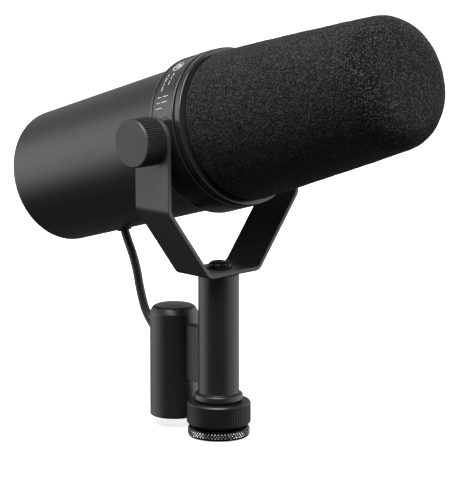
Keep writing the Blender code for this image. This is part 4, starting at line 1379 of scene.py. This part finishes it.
@dataclass
class Connector(SubAssembly):
    """Connector housing on its bracket, with the three-pin insert and the cable bush."""

    axis: float = 26.2          # distance behind the stem's axis
    radius: float = 9.96
    wall: float = 1.5
    bottom: float = 3.9
    top: float = 50.5
    insert: tuple[float, float] = (17.5, 23.0)
    pin_circle: float = 4.3
    bracket: tuple[float, float] = (20.3, 43.2)
    boot: tuple[float, float] = (35.8, 37.1)        # y, z
    boot_slope: float = 40.4

    def build(self) -> None:
        """Shape and dress every piece of the connector."""
        inner = self.radius - self.wall
        behind = moved(y=self.axis)
        boot_at = moved(0, *self.boot, (self.boot_slope - 90, 0, 0))
        shell = turn("connector_barrel", [
            (0, self.top), (2.5, self.top, 2.0), (self.radius - 1.4, self.top - 0.6, 2.4),
            (self.radius, self.top - 3.3, 2.0), (self.radius, self.bottom, 0.5),
            (inner, self.bottom, 0.3),
            (inner, self.top - 4), (inner - 2, self.top - 1.8), (0, self.top - 1.8)], 96, 7)
        bush_hole = turn("hole", [(0, 6), (3.15, 6), (3.15, -7), (0, -7)], 32)
        carve(shell, bush_hole, behind.inverted() @ boot_at)
        lock_height = sum(self.insert) / 2
        lock_hole = turn("hole", [(0, 14), (1.5, 14), (1.5, 6), (0, 6)], 24)
        carve(shell, lock_hole, moved(z=lock_height, turn=(-90, 0, 0)))
        self.fit(shell, BLACK_PAINT, "satin_black_paint", "connector_shell", at=behind)
        self.build_bracket()
        self.build_insert(inner, behind, lock_height)
        boot = turn("cable_bush", [
            (2.85, 1.9, 0.5), (2.85, -2.8), (2.15, -2.8), (2.15, 1.9, 0.15)], 48)
        self.fit(boot, RUBBER, "black_rubber", "cable_boot", at=boot_at)

    def build_bracket(self) -> None:
        """Shape the bracket between stem and barrel, with the screws behind it."""
        low, high = self.bracket
        bracket = block("barrel_bracket", (5.2, 13.0, high - low), (0, 12.1, (high + low) / 2), 0.35)
        for y, radius in ((0, 8.32), (self.axis, self.radius + 0.02)):
            core = turn("core", [(0, 60), (radius, 60), (radius, 10), (0, 10)], 96)
            carve(bracket, core, moved(y=y))
        self.fit(bracket, BLACK_PAINT, "satin_black_paint", "connector_bracket")
        seat = self.axis - self.radius + self.wall + 0.6
        for name, height in (("lower", 26.2), ("upper", 38.0)):
            head = screw_head(f"{name}_bracket_screw_head", 2.6, 2.0, Drive.CROSS, 1.4)
            self.fit(head, ZINC_STEEL, "zinc_plated_steel", f"{name}_bracket_screw",
                     at=moved(0, seat, height, (-90, 0, 0)))

    def build_insert(self, inner: float, behind: Matrix, lock_height: float) -> None:
        """Turn the insert and its pins, and the screw that holds it.

        Args:
            inner: Radius of the barrel's bore.
            behind: Place of the barrel's axis.
            lock_height: Height of the locking screw.
        """
        low, high = self.insert
        insert = turn("pin_insert", [(0, high), (inner - 0.3, high), (inner - 0.3, low, 0.3),
            (inner - 1.8, low, 0.2),
                                     (inner - 2.0, low + 0.5), (0, low + 0.5)], 64)
        self.fit(insert, BLACK_ACETAL, "black_plastic", "connector_insert", at=behind)
        for number in range(3):
            angle = math.radians(90 + 120 * number)
            spot = moved(self.pin_circle * math.cos(angle),
                self.axis + self.pin_circle * math.sin(angle), 0)
            pin = turn(f"pin_{number + 1}", [(0, 26.0), (1.15, 26.0, 0.2), (1.15, 6.5, 0.8), (0, 6.5)],
                32)
            self.fit(pin, NICKEL, "nickel_plate", f"contact_pin_{number + 1}", at=spot)
        lock = screw_head("insert_lock_screw_head", 1.2, 0.8, Drive.CROSS, 0.8)
        self.fit(lock, ZINC_STEEL, "zinc_plated_steel", "insert_lock_screw",
                 at=moved(0, self.axis + self.radius - 1.1, lock_height, (-90, 0, 0)))


@dataclass
class Lead(SubAssembly):
    """Short lead from the head's underside into the connector housing."""

    radius: float = 1.85
    length: float = 54.5
    route: tuple[tuple[float, float], ...] = (      # (y, z), in the plane x = 0
        (57.4, 82.3), (56.05, 77.8), (54.4, 73.9), (51.1, 67.7), (48.6, 61.3), (46.9, 54.7),
        (44.9, 48.6), (43.3, 45.1), (41.1, 42.0), (38.5, 39.4), (35.8, 37.1), (33.0, 34.8))

    def path(self) -> list[tuple[float, float, float]]:
        """Return close points on one smooth curve through the route, in metres."""
        ends = [self.route[0], *self.route, self.route[-1]]
        points = []
        for p0, p1, p2, p3 in zip(ends, ends[1:], ends[2:], ends[3:]):
            for t in (0, 0.25, 0.5, 0.75):
                y, z = (0.5 * (2 * b + (c - a) * t + (2 * a - 5 * b + 4 * c - d) * t * t
                               + (3 * b - a - 3 * c + d) * t ** 3) for a, b, c, d in zip(p0, p1, p2, p3))
                points.append((0.0, y * MM, z * MM))
        return points + [(0.0, self.route[-1][0] * MM, self.route[-1][1] * MM)]

    def build(self) -> None:
        path = self.path()
        curve_points = [[coordinate / MM for coordinate in point] for point in path]
        lead = strokes("lead_jacket", [curve_points], self.radius, 6)
        self.fit(lead, CABLE_JACKET, "black_rubber", "microphone_lead", ride=False, smooth=60)
        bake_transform(lead)


HIDDEN_NODES: dict[str, Finish] = {
    "bass_switch_case": BLACK_ACETAL,
    "presence_switch_case": BLACK_ACETAL,
    "circuit_board": BOARD,
    "filter_coil": COPPER_WIRE_PAINTED_SHADE,
    "filter_capacitor_1": BLUE_SLEEVE,
    "filter_capacitor_2": BLUE_SLEEVE,
    "acoustic_bulkhead": ANODISED,
    "magnet": ZINC_STEEL,
    "pole_plate": ZINC_STEEL,
    "centre_pole": ZINC_STEEL,
    "voice_coil": COPPER_WIRE_PAINTED_SHADE,
    "diaphragm": POLYESTER,
}


def dress_hidden_nodes() -> None:
    """Give every CAD node that stays its own finish."""
    for name, finish in HIDDEN_NODES.items():
        for holder in frame["nodes"][name].material_slots:
            holder.link = "OBJECT"
            holder.material = finish.material()


# ----------------------------------------------------------------- studio


@dataclass(frozen=True)
class Lamp:
    """One softbox: where it stands, its size in metres, its power and its aim."""

    name: str
    where: tuple[float, float, float]
    size: tuple[float, float]
    power: float
    aim: tuple[float, float, float] = (0, 0, 0.09)

    def build(self) -> None:
        """Hang the softbox."""
        light = bpy.data.lights.new(self.name, "AREA")
        light.shape = "RECTANGLE"
        light.size, light.size_y = self.size
        light.energy = self.power
        lamp = bpy.data.objects.new(self.name, light)
        lamp.location = self.where
        lamp.rotation_euler = (Vector(self.aim) - Vector(self.where)).to_track_quat("-Z", "Y").to_euler()
        bpy.context.scene.collection.objects.link(lamp)


@dataclass(frozen=True)
class Wall:
    """One white wall of the studio, as a soft glow in the sky round a direction."""

    direction: tuple[float, float, float]
    start: float                # cosine of the angle from it where the glow starts
    end: float                  # and where it is full
    level: float


@dataclass
class Studio:
    """Camera, pale floor and soft lamps."""

    azimuth: float = -44.604
    elevation: float = 10.694
    camera_at: tuple[float, float, float] = (-0.6975, -0.7123, 0.2645)
    lens: float = 182.0
    ambient: float = 0.1
    backdrop: float = 1.05      # how bright the sky is to the camera
    floor_size: float = 12.0

    def build(self) -> None:
        """Set up everything that isn't part of the microphone."""
        self.build_camera()
        self.build_floor()
        self.build_world()
        for lamp in LAMPS:
            lamp.build()
        bpy.context.scene.view_settings.view_transform = "Standard"

    def build_camera(self) -> None:
        """Place the camera at its azimuth and elevation."""
        data = bpy.data.cameras.new("camera")
        data.lens = self.lens
        data.clip_end = 20
        camera = bpy.data.objects.new("camera", data)
        a, e = math.radians(self.azimuth), math.radians(self.elevation)
        back = Vector((math.sin(a) * math.cos(e), -math.cos(a) * math.cos(e), math.sin(e)))
        camera.location = self.camera_at
        camera.rotation_euler = (-back).to_track_quat("-Z", "Y").to_euler()
        bpy.context.scene.collection.objects.link(camera)
        bpy.context.scene.camera = camera

    def build_floor(self) -> None:
        """Lay a wide white floor with a painted glow, weakest near the microphone, and keep its light off
        the black finishes.
        """
        clear_selection()
        bpy.ops.mesh.primitive_plane_add(size=self.floor_size, location=(0, 0, -0.0004))
        floor = bpy.context.object
        floor.name = "floor"
        floor.visible_glossy = False
        floor.visible_diffuse = False
        material = bpy.data.materials.new("White paper floor")
        material.use_nodes = True
        tree = material.node_tree
        shader = tree.nodes["Principled BSDF"]
        place = add_node(tree, "TexCoord").outputs["Object"]
        fibres = add_node(tree, "TexNoise", {"Vector": place, "Scale": 40.0,
            "Detail": 3.0}).outputs["Fac"]
        tree.links.new(ramp(tree, fibres, (0.3, "#f0f0f0"), (0.7, "#f6f6f6")),
            shader.inputs["Base Color"])
        shader.inputs["Roughness"].default_value = 0.9
        # painted glow: the floor gives off light of its own, 0.7 near the microphone and full white from
        # 0.55 m out
        away = add_node(tree, "VectorMath", {0: place}, operation="LENGTH").outputs["Value"]
        glow = add_node(tree, "MapRange", {"Value": away, "From Min": 0.05, "From Max": 0.55,
                                           "To Min": 0.7, "To Max": 1.0}, interpolation_type="SMOOTHSTEP")
        shader.inputs["Emission Color"].default_value = (1, 1, 1, 1)
        tree.links.new(glow.outputs["Result"], shader.inputs["Emission Strength"])
        floor.data.materials.append(material)

    def build_world(self) -> None:
        """Light the set from a pale sky, with plain white behind the microphone."""
        world = bpy.data.worlds.new("studio")
        bpy.context.scene.world = world
        world.use_nodes = True
        tree = world.node_tree
        tree.nodes.clear()
        direction = add_node(tree, "TexCoord").outputs["Generated"]
        height = add_node(tree, "SeparateXYZ", {0: direction}).outputs["Z"]
        foot = smooth_step(tree, height, -0.5, -0.1, 0.0, 1.0)
        head = smooth_step(tree, height, 0.3, 0.65, 1.0, 0.12)
        band = add_node(tree, "Math", {0: foot, 1: head}, operation="MULTIPLY").outputs[0]
        level: bpy.types.NodeSocket | float = self.ambient
        for wall in WALLS:
            facing = add_node(tree, "VectorMath", {0: direction, 1: wall.direction},
                operation="DOT_PRODUCT")
            glow = smooth_step(tree, facing.outputs["Value"], wall.start, wall.end, 0.0, wall.level)
            level = add_node(tree, "Math", {0: glow, 1: band, 2: level},
                operation="MULTIPLY_ADD").outputs[0]
        soft = add_node(tree, "Background", {"Color": (1, 1, 1, 1), "Strength": level})
        white = add_node(tree, "Background", {"Color": (1, 1, 1, 1), "Strength": self.backdrop})
        seen = add_node(tree, "LightPath").outputs["Is Camera Ray"]
        mix = add_node(tree, "MixShader", {0: seen, 1: soft.outputs[0], 2: white.outputs[0]})
        add_node(tree, "OutputWorld", {"Surface": mix.outputs[0]})


WALLS: tuple[Wall, ...] = (
    Wall((0.70, 0.714, 0.0), -0.1, 0.5, 0.4),       # behind
    Wall((-0.62, 0.785, 0.0), 0.72, 1.0, 2.1),      # left
    Wall((0.766, -0.643, 0.0), 0.45, 1.0, 1.9),     # right
)

LAMPS: tuple[Lamp, ...] = (
    Lamp("top_softbox", (-0.45, -0.34, 1.2), (1.05, 0.85), 38.0),
)


def main() -> None:
    """Light the set and build the microphone on it."""
    logging.basicConfig(level=logging.INFO, format="%(name)s: %(message)s")
    head = head_place()
    Studio().build()
    Lead().build()
    RearShell(place=head).build()
    Collar(place=head).build()
    GrilleCage(place=head).build()
    Capsule(place=head).build()
    Windscreen(place=head).build()
    for side in Side:
        Pivot(place=head, side=side).build()
    Yoke().build()
    Stem().build()
    Connector().build()
    dress_hidden_nodes()


if __name__ == "__main__":
    main()
